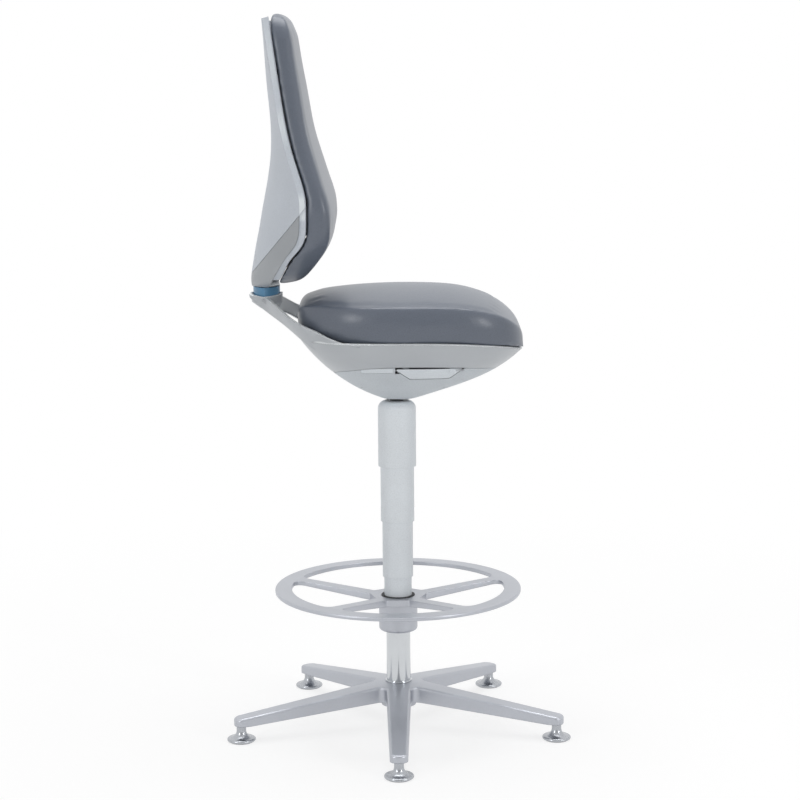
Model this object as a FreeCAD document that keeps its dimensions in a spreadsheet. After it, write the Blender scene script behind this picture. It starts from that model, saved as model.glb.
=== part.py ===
import FreeCAD, Part
import Sketcher
import math
import os
from types import SimpleNamespace

# Laboratory chair with a star base on glides, a foot ring, a gas lift under telescopic sleeves,
# a tilting seat and a backrest on a neck.  Millimetres, +X is the way the sitter faces, +Z is up,
# and the origin is on the floor on the column's axis.

Vector = FreeCAD.Vector
os.makedirs("parts", exist_ok=True)
doc = FreeCAD.newDocument("laboratory_chair")

# Driving dimensions, kept in the sheet under these names
driving = {
    # general fits
    "press_fit": 0.02,
    "running_fit": 0.05,
    "moving_gap": 0.5,
    # star base and glides
    "leg_count": 5,
    "glide_circle": 340,
    "pad_radius": 25,
    "pad_height": 2.5,
    "bell_lift": 1.0,
    "bell_radius": 29.3,
    "bell_rim": 8,
    "bell_rim_round": 3.5,
    "bell_height": 23.5,
    "bell_neck_radius": 9.8,
    "bell_neck_length": 10.5,
    "stud_radius": 5,
    "stud_in_leg": 10,
    "stud_in_bell": 20,
    "leg_root_width": 53,
    "leg_tip_width": 36,
    "leg_overhang": 14,
    "leg_tip_thickness": 17,
    "hub_rise": 48.5,
    "root_rise": 30,
    "boss_radius": 36,
    "boss_drop": 18,
    "leg_gap_round": 15,
    "leg_tip_round": 15,
    "leg_edge_round": 5,
    # standpipe and what turns in it
    "pipe_radius": 25,
    "pipe_wall": 2.2,
    "pipe_ring_width": 2.4,
    "pipe_ring_height": 3,
    "floor_lift": 4,
    "floor_thickness": 6,
    "journal_radius": 4,
    "rod_radius": 5,
    "clip_thickness": 2,
    "clip_radius": 7.5,
    "race_radius": 14,
    "race_thickness": 2,
    "ball_radius": 2,
    "ball_count": 12,
    "stop_height": 18,
    "lift_stroke": 265,
    "bush_length": 66,
    "bush_flange": 3,
    # gas cylinder
    "cylinder_radius": 14,
    "cylinder_wall": 1.6,
    "cylinder_cap": 6,
    "gland_length": 16,
    "piston_length": 12,
    "piston_ring_width": 3,
    "piston_ring_depth": 2,
    "taper_length": 42,
    "taper_drop": 0.7,
    "release_pin_radius": 3,
    "release_pin_length": 40,
    "release_pin_proud": 23.2,
    # foot ring
    "foot_ring_height": 280,
    "ring_radius": 255,
    "ring_band": 34,
    "ring_thickness": 8,
    "ring_rise": 18,
    "ring_edge_round": 2.5,
    "ring_hub_wall": 15,
    "ring_hub_height": 40,
    "spoke_width": 27,
    "spoke_depth": 15,
    "window_start": 54,
    "window_round": 18,
    "window_root_round": 7,
    "collet_wall": 3,
    "collar_height": 33.5,
    "collar_round": 7,
    "seal_radius": 34.5,
    "seal_depth": 6,
    "seal_proud": 1.5,
    # telescopic sleeves, from the lowest up
    "sleeve_wall": 2,
    "sleeve_gap": 1.1,
    "sleeve_lip": 0.7,
    "lip_height": 3.5,
    "pipe_gap": 1.4,
    "top_sleeve_gap": 2.4,
    "sleeve_sink": 3,
    "sleeve_overlap": 8,
    "sleeve_four_shown": 44,
    "sleeve_four_hidden": 79,
    "sleeve_three_shown": 117,
    "sleeve_two_shown": 116,
    "sleeve_one_height": 121,
    "dome_height": 15,
    "dome_neck_radius": 24,
    # seat unit, measured from the underside of the lower cover
    "cover_gap": 4.5,
    "bowl_front": 254,
    "bowl_rear": 198,
    "bowl_half_width": 206,
    "bowl_depth": 136.5,
    "bowl_front_drop": 30,
    "bowl_opening": 26,
    "bowl_seam": 0.85,
    "bowl_seam_rear_dip": 0.25,
    "bowl_seam_front_dip": 0.05,
    "shell_wall": 3.2,
    "bracket_radius": 24,
    "bracket_height": 36,
    "socket_lift": 11.5,
    "pivot_rise": 40.5,
    "axle_radius": 8,
    "axle_root": 18,
    "ear_gap": 8,
    "ear_thickness": 12,
    "ear_width": 40,
    "ear_round": 19,
    "ear_window": 20,
    "bush_wall": 6,
    "axle_clip_thickness": 2,
    "plate_rise": 89.5,
    "plate_thickness": 3,
    "plate_front": 150,
    "plate_rear": 125,
    "plate_half_width": 118,
    "plate_round": 40,
    "pan_rise": 133,
    "pan_thickness": 7.5,
    "pan_recess": 0.3,
    "pan_recess_side": 1,
    "pan_front": 222,
    "pan_rear": 165,
    "pan_half_width": 168,
    "pan_round": 110,
    "post_radius": 8,
    "screw_radius": 3,
    "post_spread_x": 100,
    "post_spread_y": 85,
    "rib_width": 20,
    "rib_height": 10,
    "rib_place": 80,
    # paddles and the release
    "paddle_start": 1,
    "paddle_top_length": 128,
    "paddle_bottom_length": 78,
    "paddle_drop": 24,
    "paddle_top_gap": 3,
    "paddle_gap": 1.0,
    "paddle_slot": 3.6,
    "paddle_pin_radius": 2,
    "paddle_pin_clear": 4,
    "paddle_lug": 12,
    "paddle_arm_reach": 23,
    "insert_length": 63,
    "insert_height": 9,
    "bar_width": 14,
    "bar_thickness": 5,
    "bar_fulcrum": 100,
    "bar_play": 0.8,
    "hanger_thickness": 4,
    "friction_disc": 5.5,
    # arms, neck and backrest
    "arm_thickness": 7,
    "neck_offset": 265,
    "neck_front": 29,
    "neck_rear": 25,
    "neck_half_width": 48,
    "neck_rise": 215.5,
    "neck_shown": 18,
    "neck_sink": 18,
    "neck_taper": 0.62,
    "cup_wall": 3.2,
    "cup_gap": 2.4,
    "cup_depth": 27,
    "cup_saddle": 5,
    "neck_pin_drop": 8,
    "neck_pin_radius": 4,
    "neck_pin_root": 33,
    "neck_bush_wall": 1.5,
    "stem_thickness": 11.4,
    "stem_width": 56,
    "carrier_gap": 1.5,
    "back_height": 522,
    "back_half_width": 224,
    "back_shell_wall": 4,
    "back_board_thickness": 7,
    "back_skin_gap": 0.3,
    "carrier_seam_gap": 0.8,
    "carrier_strip": 13,
    "back_rim_band": 13,
    "back_slide_lean": 9,
    "tongue_width": 40,
    "tongue_thickness": 6,
    "tongue_length": 230,
    "slider_length": 52,
    "slider_wall": 8,
    "slide_gap": 0.35,
    "back_post_radius": 6,
    # seat cushion
    "seat_rear": 200,
    "seat_front": 256,
    "seat_half_width": 215,
    "seat_side_height": 72,
    "seat_crown": 20,
    "cushion_gap": 0.6,
}

sheet = doc.addObject("Spreadsheet::Sheet", "sizes")
for row, (alias, value) in enumerate(driving.items(), start=1):
    sheet.set("A%d" % row, alias)
    sheet.set("B%d" % row, str(value))
    sheet.setAlias("B%d" % row, alias)
doc.recompute()


class Length:
    # A size that knows its value and the sheet expression it comes from

    def __init__(self, value, text):
        self.value = value
        self.text = text

    def joined(self, other, sign, value):
        return Length(value, "(%s %s %s)" % (self.text, sign, other.text))

    def __add__(self, other):
        other = length(other)
        return self.joined(other, "+", self.value + other.value)

    def __sub__(self, other):
        other = length(other)
        return self.joined(other, "-", self.value - other.value)

    def __mul__(self, other):
        other = length(other)
        return self.joined(other, "*", self.value * other.value)

    def __truediv__(self, other):
        other = length(other)
        return self.joined(other, "/", self.value / other.value)

    def __neg__(self):
        return Length(-self.value, "(0 - %s)" % self.text)

    def root(self):
        return Length(math.sqrt(self.value), "sqrt(%s)" % self.text)


def length(number):
    return number if isinstance(number, Length) else Length(float(number), "%.9g" % number)


size = SimpleNamespace(**{alias: Length(float(value), "sizes." + alias) for alias, value in driving.items()})
zero = length(0)
pieces = {}


def keep(label, thing):
    thing.Label = label
    pieces[label] = thing
    return thing


def origin_plane(body, role):
    return next(feature for feature in body.Origin.OriginFeatures if feature.Role == role)


def new_sketch(body, name, role):
    sketch = body.newObject("Sketcher::SketchObject", name)
    sketch.AttachmentSupport = (origin_plane(body, role), [""])
    sketch.MapMode = "FlatFace"
    return sketch


def bind_distance(sketch, kind, geometry, end, distance):
    axis = -2 if kind == "DistanceX" else -1
    if distance.text == zero.text:
        sketch.addConstraint(Sketcher.Constraint("PointOnObject", geometry, end, axis))
        return
    index = sketch.addConstraint(Sketcher.Constraint(kind, -1, 1, geometry, end, distance.value))
    sketch.setExpression("Constraints[%d]" % index, distance.text)


def arc_edge(start, finish, radius, side):
    # Arc of the given radius from start to finish; side +1 bulges to the right of the way, -1 to the left
    chord = finish - start
    middle = (start + finish) * 0.5
    across = Vector(chord.y, -chord.x, 0).normalize()
    sagitta = radius - math.sqrt(max(radius ** 2 - (chord.Length / 2) ** 2, 0))
    return middle + across * (sagitta * side)


def outline(sketch, corners, arcs=None):
    # Closed outline through the corners; arcs maps a corner's index to (radius, side) for the run after it
    arcs = arcs or {}
    first = sketch.GeometryCount
    ends = []
    points = [Vector(x.value, y.value, 0) for x, y in corners]
    for index, start in enumerate(points):
        finish = points[(index + 1) % len(points)]
        if index in arcs:
            radius, side = arcs[index]
            through = arc_edge(start, finish, radius.value, side)
            turns_left = (through - start).cross(finish - through).z > 0
            ordered = (start, through, finish) if turns_left else (finish, through, start)
            sketch.addGeometry(Part.Arc(*ordered))
            ends.append((1, 2) if turns_left else (2, 1))
        else:
            sketch.addGeometry(Part.LineSegment(start, finish))
            ends.append((1, 2))
    for index, (begin, finish) in enumerate(ends):
        after = (index + 1) % len(ends)
        sketch.addConstraint(Sketcher.Constraint(
            "Coincident", first + index, finish, first + after, ends[after][0]))
    for index, (x, y) in enumerate(corners):
        bind_distance(sketch, "DistanceX", first + index, ends[index][0], length(x))
        bind_distance(sketch, "DistanceY", first + index, ends[index][0], length(y))
    for index, (radius, side) in arcs.items():
        made = sketch.addConstraint(Sketcher.Constraint("Radius", first + index, radius.value))
        sketch.setExpression("Constraints[%d]" % made, radius.text)


def add_circle(sketch, x, y, radius):
    made = sketch.addGeometry(Part.Circle(Vector(x.value, y.value, 0), Vector(0, 0, 1), radius.value))
    bind_distance(sketch, "DistanceX", made, 3, x)
    bind_distance(sketch, "DistanceY", made, 3, y)
    index = sketch.addConstraint(Sketcher.Constraint("Radius", made, radius.value))
    sketch.setExpression("Constraints[%d]" % index, radius.text)


def turned(label, profile, arcs=None):
    # Body turned about Z from a profile of (radius, height) corners
    body = doc.addObject("PartDesign::Body", label)
    sketch = new_sketch(body, label + "_profile", "XZ_Plane")
    outline(sketch, [(length(r), length(z)) for r, z in profile], arcs)
    turn = body.newObject("PartDesign::Revolution", label + "_turn")
    turn.Profile = sketch
    turn.ReferenceAxis = (sketch, ["V_Axis"])
    turn.Angle = 360
    doc.recompute()
    return body


def ring(label, outer, inner, bottom, top):
    return turned(label, [(inner, bottom), (outer, bottom), (outer, top), (inner, top)])


def rod(label, radius, bottom, top):
    return turned(label, [(zero, bottom), (radius, bottom), (radius, top), (zero, top)])


def padded_outline(label, role, corners, start, thickness, arcs=None, holes=()):
    # Body padded from an outline on an origin plane, starting at a distance from that plane
    body = doc.addObject("PartDesign::Body", label)
    sketch = new_sketch(body, label + "_outline", role)
    sketch.setExpression("AttachmentOffset.Base.z", start.text)
    outline(sketch, [(length(x), length(y)) for x, y in corners], arcs)
    for x, y, radius in holes:
        add_circle(sketch, length(x), length(y), radius)
    pad = body.newObject("PartDesign::Pad", label + "_pad")
    pad.Profile = sketch
    pad.setExpression("Length", thickness.text)
    doc.recompute()
    return body


def round_edges(body, name, radius, wanted):
    # Fillet on every edge of the body's last feature that the test picks
    base = body.Tip
    chosen = ["Edge%d" % n for n, edge in enumerate(base.Shape.Edges, start=1) if wanted(edge)]
    fillet = body.newObject("PartDesign::Fillet", name)
    fillet.Base = (base, chosen)
    fillet.setExpression("Radius", radius.text)
    body.Tip = fillet
    doc.recompute()
    return fillet


def is_upright(edge):
    ends = edge.Vertexes
    return len(ends) == 2 and abs(ends[0].X - ends[1].X) + abs(ends[0].Y - ends[1].Y) < 0.01


def turn_radius(point):
    return math.hypot(point.x, point.y)


def solid_feature(label, shape):
    feature = doc.addObject("Part::Feature", label)
    feature.Shape = shape
    return feature


def bar_shape(start, finish, radius):
    # Round bar between two points
    way = finish - start
    return Part.makeCylinder(radius, way.Length, start, way)


def block_shape(low, high):
    return Part.makeBox(high.x - low.x, high.y - low.y, high.z - low.z, low)


def largest_solid(shape):
    # what a cut leaves, without its slivers
    return max(shape.Solids, key=lambda solid: solid.Volume)


def group(label, shapes):
    return keep(label, solid_feature(label, Part.makeCompound(shapes)))


# Levels that the driving dimensions add up to
under_level = size.bell_height + size.bell_neck_length
boss_level = under_level + size.root_rise - size.boss_drop
floor_low = boss_level + size.floor_lift
floor_top = floor_low + size.floor_thickness
race_top = floor_top + size.race_thickness * 2 + size.ball_radius * 2 + size.running_fit * 2
cylinder_low = floor_top + size.stop_height + 1 + size.lift_stroke
pipe_bore = size.pipe_radius - size.pipe_wall
sleeve_four_low = size.foot_ring_height - size.sleeve_sink
sleeve_three_low = sleeve_four_low + size.sleeve_four_shown
sleeve_two_low = sleeve_three_low + size.sleeve_three_shown
sleeve_one_low = sleeve_two_low + size.sleeve_two_shown
dome_low = sleeve_one_low + size.sleeve_one_height
dome_top = dome_low + size.dome_height
sleeve_four_top = sleeve_three_low + size.sleeve_four_hidden
pipe_top = sleeve_four_top + size.sleeve_overlap
seat_level = dome_top + size.cover_gap
pivot_level = seat_level + size.pivot_rise
socket_low = seat_level + size.socket_lift
socket_top = socket_low + size.bracket_height
plate_low = seat_level + size.plate_rise
plate_top = plate_low + size.plate_thickness
pan_low = seat_level + size.pan_rise
pan_top = pan_low + size.pan_thickness
step_angle = 360.0 / size.leg_count.value
half_step = math.radians(step_angle / 2)


# Star base: a turned body with a wedge cut out between neighbouring legs
def star_base():
    tip = size.glide_circle + size.leg_overhang
    share = tip / size.glide_circle
    tip_top = under_level + size.leg_tip_thickness
    hub_top = tip_top + size.hub_rise
    root_under = under_level + size.root_rise
    body = turned("star_base", [
        (zero, boss_level),
        (size.boss_radius, boss_level),
        (size.boss_radius, root_under - size.root_rise * size.boss_radius / size.glide_circle),
        (size.glide_circle - size.leg_overhang, under_level),
        (tip, under_level),
        (tip, hub_top - size.hub_rise * share),
        (zero, hub_top),
    ])
    # the wedge's two sides are the flanks of the legs on either side of it, and it opens along +Y
    half_root = size.leg_root_width / 2
    narrowing = (size.leg_root_width - size.leg_tip_width) / (size.glide_circle * 2)
    along, across = math.sin(half_step), math.cos(half_step)
    apex = half_root / (narrowing + along / across) / across
    reach = tip * 1.3
    flank = half_root - narrowing * reach
    wide = reach * along - flank * across
    far = reach * across + flank * along
    sketch = new_sketch(body, "leg_gap_outline", "XY_Plane")
    outline(sketch, [(zero, apex), (wide, far), (-wide, far)])
    gap = body.newObject("PartDesign::Pocket", "leg_gap")
    gap.Profile = sketch
    gap.Type = "ThroughAll"
    gap.Midplane = True
    around = body.newObject("PartDesign::PolarPattern", "leg_gaps")
    around.Originals = [gap]
    around.Axis = (sketch, ["N_Axis"])
    around.Angle = 360
    around.setExpression("Occurrences", size.leg_count.text)
    body.Tip = around
    doc.recompute()
    middle = size.glide_circle.value / 2
    boss = size.boss_radius.value
    round_edges(body, "leg_gap_rounds", size.leg_gap_round, lambda edge: is_upright(edge)
                and boss + 0.1 < turn_radius(edge.Vertexes[0].Point) < middle)
    round_edges(body, "leg_tip_rounds", size.leg_tip_round, lambda edge: is_upright(edge)
                and turn_radius(edge.Vertexes[0].Point) > middle)

    def slope_height(point, level, drop):
        return level.value - drop.value * turn_radius(point) / size.glide_circle.value

    def on_top(edge):
        place = edge.CenterOfMass
        edges = [vertex.Point for vertex in edge.Vertexes] + [place]
        near_slope = all(abs(p.z - slope_height(p, hub_top, size.hub_rise)) < 2.0 for p in edges)
        return near_slope and turn_radius(place) > 5

    round_edges(body, "leg_top_rounds", size.leg_edge_round, on_top)
    holes = new_sketch(body, "pipe_seat_outline", "XY_Plane")
    add_circle(holes, zero, zero, size.pipe_radius + size.press_fit)
    bore = body.newObject("PartDesign::Pocket", "pipe_seat")
    bore.Profile = holes
    bore.Type = "ThroughAll"
    bore.Midplane = True
    stud_seat = new_sketch(body, "stud_seat_outline", "XY_Plane")
    add_circle(stud_seat, zero, -size.glide_circle, size.stud_radius + size.press_fit)
    stud_hole = body.newObject("PartDesign::Pocket", "stud_seat")
    stud_hole.Profile = stud_seat
    stud_hole.Reversed = True
    stud_hole.setExpression("Length", (under_level + size.stud_in_leg).text)
    around_studs = body.newObject("PartDesign::PolarPattern", "stud_seats")
    around_studs.Originals = [stud_hole]
    around_studs.Axis = (stud_seat, ["N_Axis"])
    around_studs.Angle = 360
    around_studs.setExpression("Occurrences", size.leg_count.text)
    body.Tip = around_studs
    doc.recompute()
    return keep("star_base", body)


# Glides: a flared bell on a stud under each leg tip, with a soft pad let into its underside
def glides():
    rim_top = size.bell_radius - size.bell_rim_round
    flare_in = rim_top - size.bell_neck_radius
    flare_up = size.bell_height - size.bell_rim
    flare = (flare_in * flare_in + flare_up * flare_up) / (flare_in * 2)
    seat = size.pad_radius + size.press_fit
    stud_bore = size.stud_radius + size.press_fit
    stud_low = under_level - size.stud_in_bell
    rim_low = size.bell_lift + size.bell_rim_round
    profile = [
        (zero, size.pad_height),
        (seat, size.pad_height),
        (seat, size.bell_lift),
        (size.bell_radius - size.bell_rim_round, size.bell_lift),
        (size.bell_radius, rim_low),
        (rim_top, size.bell_rim),
        (size.bell_neck_radius, size.bell_height),
        (size.bell_neck_radius, under_level),
        (stud_bore, under_level),
        (stud_bore, stud_low),
        (zero, stud_low),
    ]
    arcs = {3: (size.bell_rim_round, 1), 4: (size.bell_rim_round, 1), 5: (flare, -1)}
    pads = []
    studs = []
    bells = []
    for number in range(int(size.leg_count.value)):
        turn = math.radians(270 + number * step_angle)
        place_x = size.glide_circle * math.cos(turn)
        place_y = size.glide_circle * math.sin(turn)
        bell = turned("glide_bell_%d" % (number + 1), profile, arcs)
        bell.setExpression("Placement.Base.x", place_x.text)
        bell.setExpression("Placement.Base.y", place_y.text)
        bells.append(bell)
        foot = Vector(place_x.value, place_y.value, 0)
        pads.append(Part.makeCylinder(size.pad_radius.value, size.pad_height.value, foot))
        stud_start = foot + Vector(0, 0, stud_low.value)
        stud_end = foot + Vector(0, 0, (under_level + size.stud_in_leg).value)
        studs.append(bar_shape(stud_start, stud_end, size.stud_radius.value))
    together = doc.addObject("Part::Compound", "glide_bells")
    together.Links = bells
    keep("glide_bells", together)
    group("glide_pads", pads)
    group("glide_studs", studs)


# Standpipe with the floor, bearing and bush that carry the gas spring
def standpipe():
    tip_top = under_level + size.leg_tip_thickness
    ring_low = tip_top + size.hub_rise - size.hub_rise * size.pipe_radius / size.glide_circle
    ring_inner = size.pipe_radius + size.press_fit
    keep("standpipe", ring("standpipe", size.pipe_radius, pipe_bore, boss_level, pipe_top))
    keep("pipe_ring", ring("pipe_ring", ring_inner + size.pipe_ring_width, ring_inner, ring_low,
                           ring_low + size.pipe_ring_height))
    journal_bore = size.journal_radius + size.running_fit
    keep("pipe_floor", ring("pipe_floor", pipe_bore - size.press_fit, journal_bore, floor_low, floor_top))
    race_bore = journal_bore + size.running_fit
    lower_top = floor_top + size.race_thickness
    keep("lower_race", ring("lower_race", size.race_radius, race_bore, floor_top, lower_top))
    ball_level = lower_top + size.running_fit + size.ball_radius
    ball_circle = (size.race_radius + race_bore) / 2
    balls = []
    for number in range(int(size.ball_count.value)):
        turn = 2 * math.pi * number / size.ball_count.value
        spot = Vector(math.cos(turn), math.sin(turn), 0) * ball_circle.value + Vector(0, 0, ball_level.value)
        balls.append(Part.makeSphere(size.ball_radius.value, spot))
    group("bearing_balls", balls)
    upper_low = ball_level + size.ball_radius + size.running_fit
    upper_high = upper_low + size.race_thickness
    keep("upper_race", ring("upper_race", size.race_radius, race_bore, upper_low, upper_high))
    keep("bump_stop", ring("bump_stop", pipe_bore - size.press_fit, size.race_radius + size.moving_gap,
                           floor_top, floor_top + size.stop_height))
    bush_bore = size.cylinder_radius + size.running_fit
    keep("guide_bush", turned("guide_bush", [
        (bush_bore, pipe_top - size.bush_length),
        (pipe_bore - size.press_fit, pipe_top - size.bush_length),
        (pipe_bore - size.press_fit, pipe_top),
        (size.pipe_radius, pipe_top),
        (size.pipe_radius, pipe_top + size.bush_flange),
        (bush_bore, pipe_top + size.bush_flange),
    ]))


# Gas spring: the rod stands on the bearing, and the cylinder slides on it with the seat
def gas_spring():
    rod_low = race_top
    bore = size.cylinder_radius - size.cylinder_wall
    gland_top = cylinder_low + size.gland_length
    piston_low = gland_top + size.moving_gap * 4
    piston_top = piston_low + size.piston_length
    clip_low = floor_low - size.moving_gap - size.clip_thickness
    keep("piston_rod", turned("piston_rod", [
        (zero, clip_low - size.moving_gap),
        (size.journal_radius, clip_low - size.moving_gap),
        (size.journal_radius, rod_low),
        (size.rod_radius, rod_low),
        (size.rod_radius, piston_top),
        (zero, piston_top),
    ]))
    keep("rod_clip", ring("rod_clip", size.clip_radius, size.journal_radius + size.press_fit, clip_low,
                          clip_low + size.clip_thickness))
    piston_radius = bore - size.running_fit
    groove = piston_radius - size.piston_ring_depth
    groove_low = piston_low + (size.piston_length - size.piston_ring_width) / 2
    groove_top = groove_low + size.piston_ring_width
    piston_bore = size.rod_radius + size.press_fit
    keep("piston", turned("piston", [
        (piston_bore, piston_low),
        (piston_radius, piston_low),
        (piston_radius, groove_low),
        (groove, groove_low),
        (groove, groove_top),
        (piston_radius, groove_top),
        (piston_radius, piston_top),
        (piston_bore, piston_top),
    ]))
    keep("piston_ring", ring("piston_ring", piston_radius, groove + size.press_fit, groove_low + size.press_fit,
                             groove_top - size.press_fit))
    taper_low = socket_top - size.taper_length
    pin_bore = size.release_pin_radius + size.running_fit
    keep("gas_cylinder", turned("gas_cylinder", [
        (bore, cylinder_low),
        (size.cylinder_radius, cylinder_low),
        (size.cylinder_radius, taper_low),
        (size.cylinder_radius - size.taper_drop, socket_top),
        (pin_bore, socket_top),
        (pin_bore, socket_top - size.cylinder_cap),
        (bore, socket_top - size.cylinder_cap),
    ]))
    keep("cylinder_gland", ring("cylinder_gland", bore - size.press_fit, size.rod_radius + size.running_fit,
                                cylinder_low, gland_top))
    pin_top = socket_top + size.release_pin_proud
    pin_low = pin_top - size.release_pin_length
    keep("release_pin", rod("release_pin", size.release_pin_radius, pin_low, pin_top))


# Telescopic sleeves; each has a lip inside its foot that lifts the lip outside the next one's head
def sleeves():
    four_in = size.pipe_radius + size.pipe_gap
    four_out = four_in + size.sleeve_wall
    three_in = four_out + size.sleeve_gap
    three_out = three_in + size.sleeve_wall
    two_in = three_out + size.sleeve_gap
    two_out = two_in + size.sleeve_wall
    one_in = two_out + size.top_sleeve_gap
    one_out = one_in + size.sleeve_wall
    grip = size.pipe_radius + size.press_fit

    keep("cover_sleeve_4", turned("cover_sleeve_4", [
        (four_in, sleeve_four_low),
        (four_out, sleeve_four_low),
        (four_out, sleeve_four_top),
        (grip, sleeve_four_top),
        (grip, sleeve_four_top - size.lip_height),
        (four_in, sleeve_four_top - size.lip_height),
    ]))

    def middle_sleeve(label, inner, outer, low, top, head_lip):
        return keep(label, turned(label, [
            (inner - size.sleeve_lip, low),
            (outer, low),
            (outer, top - size.lip_height),
            (outer + head_lip, top - size.lip_height),
            (outer + head_lip, top),
            (inner, top),
            (inner, low + size.lip_height),
            (inner - size.sleeve_lip, low + size.lip_height),
        ]))

    middle_sleeve("cover_sleeve_3", three_in, three_out, sleeve_three_low, sleeve_two_low + size.sleeve_overlap,
                  size.sleeve_lip)
    middle_sleeve("cover_sleeve_2", two_in, two_out, sleeve_two_low, sleeve_one_low + size.sleeve_overlap,
                  size.top_sleeve_gap - size.sleeve_lip)
    grip_bore = size.cylinder_radius + size.press_fit
    dome_round = one_out - size.dome_neck_radius
    keep("cover_sleeve_1", turned("cover_sleeve_1", [
        (one_in - size.top_sleeve_gap + size.sleeve_lip, sleeve_one_low),
        (one_out, sleeve_one_low),
        (one_out, dome_low),
        (size.dome_neck_radius, dome_top),
        (grip_bore, dome_top),
        (grip_bore, dome_top - size.sleeve_wall * 2),
        (size.dome_neck_radius - size.sleeve_wall, dome_top - size.sleeve_wall * 2),
        (one_in, dome_low),
        (one_in, sleeve_one_low + size.lip_height),
        (one_in - size.top_sleeve_gap + size.sleeve_lip, sleeve_one_low + size.lip_height),
    ], {2: (dome_round * 1.15, 1)}))


# Foot ring: a dished wheel whose hub is clamped on the standpipe by a collet and a collar
def foot_ring():
    hub_radius = size.pipe_radius + size.ring_hub_wall
    collet_bore = size.pipe_radius + size.running_fit
    collet_radius = collet_bore + size.collet_wall
    bore = collet_radius + size.press_fit
    hub_top = size.foot_ring_height
    hub_low = hub_top - size.ring_hub_height
    band_top = hub_top + size.ring_rise
    band_inner = size.ring_radius - size.ring_band
    band_low = band_top - size.ring_thickness
    spoke_low = hub_top - size.spoke_depth
    seal_seat = hub_top - size.seal_depth
    body = turned("foot_ring", [
        (bore, hub_low),
        (hub_radius, hub_low),
        (hub_radius, spoke_low),
        (band_inner, band_low),
        (size.ring_radius, band_low),
        (size.ring_radius, band_top),
        (band_inner, band_top),
        (hub_radius, hub_top),
        (size.seal_radius, hub_top),
        (size.seal_radius, seal_seat),
        (bore, seal_seat),
    ])
    # one window between two spokes, opening along -Y, under the leg that points that way
    along, across = math.sin(half_step), math.cos(half_step)
    half_spoke = size.spoke_width / 2
    reach = (band_inner * band_inner - half_spoke * half_spoke).root()
    outer_x = reach * along - half_spoke * across
    outer_y = reach * across + half_spoke * along
    root = (size.window_start - half_spoke * along) / across
    inner_x = root * along - half_spoke * across
    sketch = new_sketch(body, "window_outline", "XY_Plane")
    outline(sketch, [(-inner_x, -size.window_start), (-outer_x, -outer_y), (outer_x, -outer_y),
                     (inner_x, -size.window_start)], {1: (band_inner, 1)})
    window = body.newObject("PartDesign::Pocket", "ring_window")
    window.Profile = sketch
    window.Type = "ThroughAll"
    window.Midplane = True
    around = body.newObject("PartDesign::PolarPattern", "ring_windows")
    around.Originals = [window]
    around.Axis = (sketch, ["N_Axis"])
    around.Angle = 360
    around.setExpression("Occurrences", size.leg_count.text)
    body.Tip = around
    doc.recompute()
    middle = (band_inner.value + size.window_start.value) / 2
    hub = hub_radius.value
    round_edges(body, "window_rounds", size.window_round, lambda edge: is_upright(edge)
                and turn_radius(edge.Vertexes[0].Point) > middle)
    round_edges(body, "window_root_rounds", size.window_root_round, lambda edge: is_upright(edge)
                and hub + 1 < turn_radius(edge.Vertexes[0].Point) < middle)

    def on_rim(edge):
        place = edge.Vertexes[0].Point
        return abs(turn_radius(place) - size.ring_radius.value) < 0.01 and not is_upright(edge)

    round_edges(body, "ring_edge_rounds", size.ring_edge_round, on_rim)
    keep("foot_ring", body)
    collar_top = hub_low - size.moving_gap
    collar_low = collar_top - size.collar_height
    collet_low = collar_low + size.moving_gap
    keep("ring_collet", ring("ring_collet", collet_radius, collet_bore, collet_low, seal_seat))
    collar_bore = collet_radius + size.running_fit
    collar_radius = hub_radius
    keep("ring_lock_collar", turned("ring_lock_collar", [
        (collar_bore, collar_low),
        (collar_radius - size.collar_round, collar_low),
        (collar_radius, collar_low + size.collar_round),
        (collar_radius, collar_top),
        (collar_bore, collar_top),
    ], {1: (size.collar_round, 1)}))
    sleeve_radius = size.pipe_radius + size.pipe_gap + size.sleeve_wall
    keep("ring_seal", ring("ring_seal", size.seal_radius - size.press_fit, sleeve_radius + size.moving_gap,
                           seal_seat, hub_top + size.seal_proud))
    return body


# Bowl under the seat: a cone from the column that turns up to a rim of rounded plan.
# share runs from the column's axis (0) to the rim (1), and turn goes round the plan.
# Each profile is (slope of its cone, power of its turned-up rim)
front_profile, side_profile, rear_profile = (0.80, 5), (0.78, 9), (0.25, 2)
rim_end = 0.5
seam_gap = 1.0
innermost_share = 0.05
ring_steps, half_turn_steps = 7, 16
plan_power = 2 / 3.2
opening_share = size.bowl_opening.value / size.bowl_half_width.value


def signed_power(number, power):
    return math.copysign(abs(number) ** power, number)


def rim_plan(turn):
    half_length = (size.bowl_front.value + size.bowl_rear.value) / 2
    centre = (size.bowl_front.value - size.bowl_rear.value) / 2
    return (centre + half_length * signed_power(math.cos(turn), plan_power),
            size.bowl_half_width.value * signed_power(math.sin(turn), plan_power))


def lengthways_share(turn):
    # 0 straight across the seat and 1 straight along it
    plan_x, plan_y = rim_plan(turn)
    return plan_x ** 2 / (plan_x ** 2 + plan_y ** 2)


def climb(share, profile):
    # share of the bowl's depth that a profile has climbed
    cone, power = profile
    return cone * max(share - opening_share, 0) + (1 - cone * (1 - opening_share)) * share ** power


def bowl_point(share, turn, inset=0.0):
    plan_x, plan_y = rim_plan(turn)
    lengthways = lengthways_share(turn)
    end_profile = front_profile if plan_x > 0 else rear_profile
    rise = climb(share, side_profile) * (1 - lengthways) + climb(share, end_profile) * lengthways
    dip = size.bowl_front_drop.value * lengthways ** 2 if plan_x > 0 else 0
    pulled = share * (1 - inset / math.hypot(plan_x, plan_y))
    height = seat_level.value + (size.bowl_depth.value - dip) * rise + inset
    return Vector(plan_x * pulled, plan_y * pulled, height)


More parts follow.
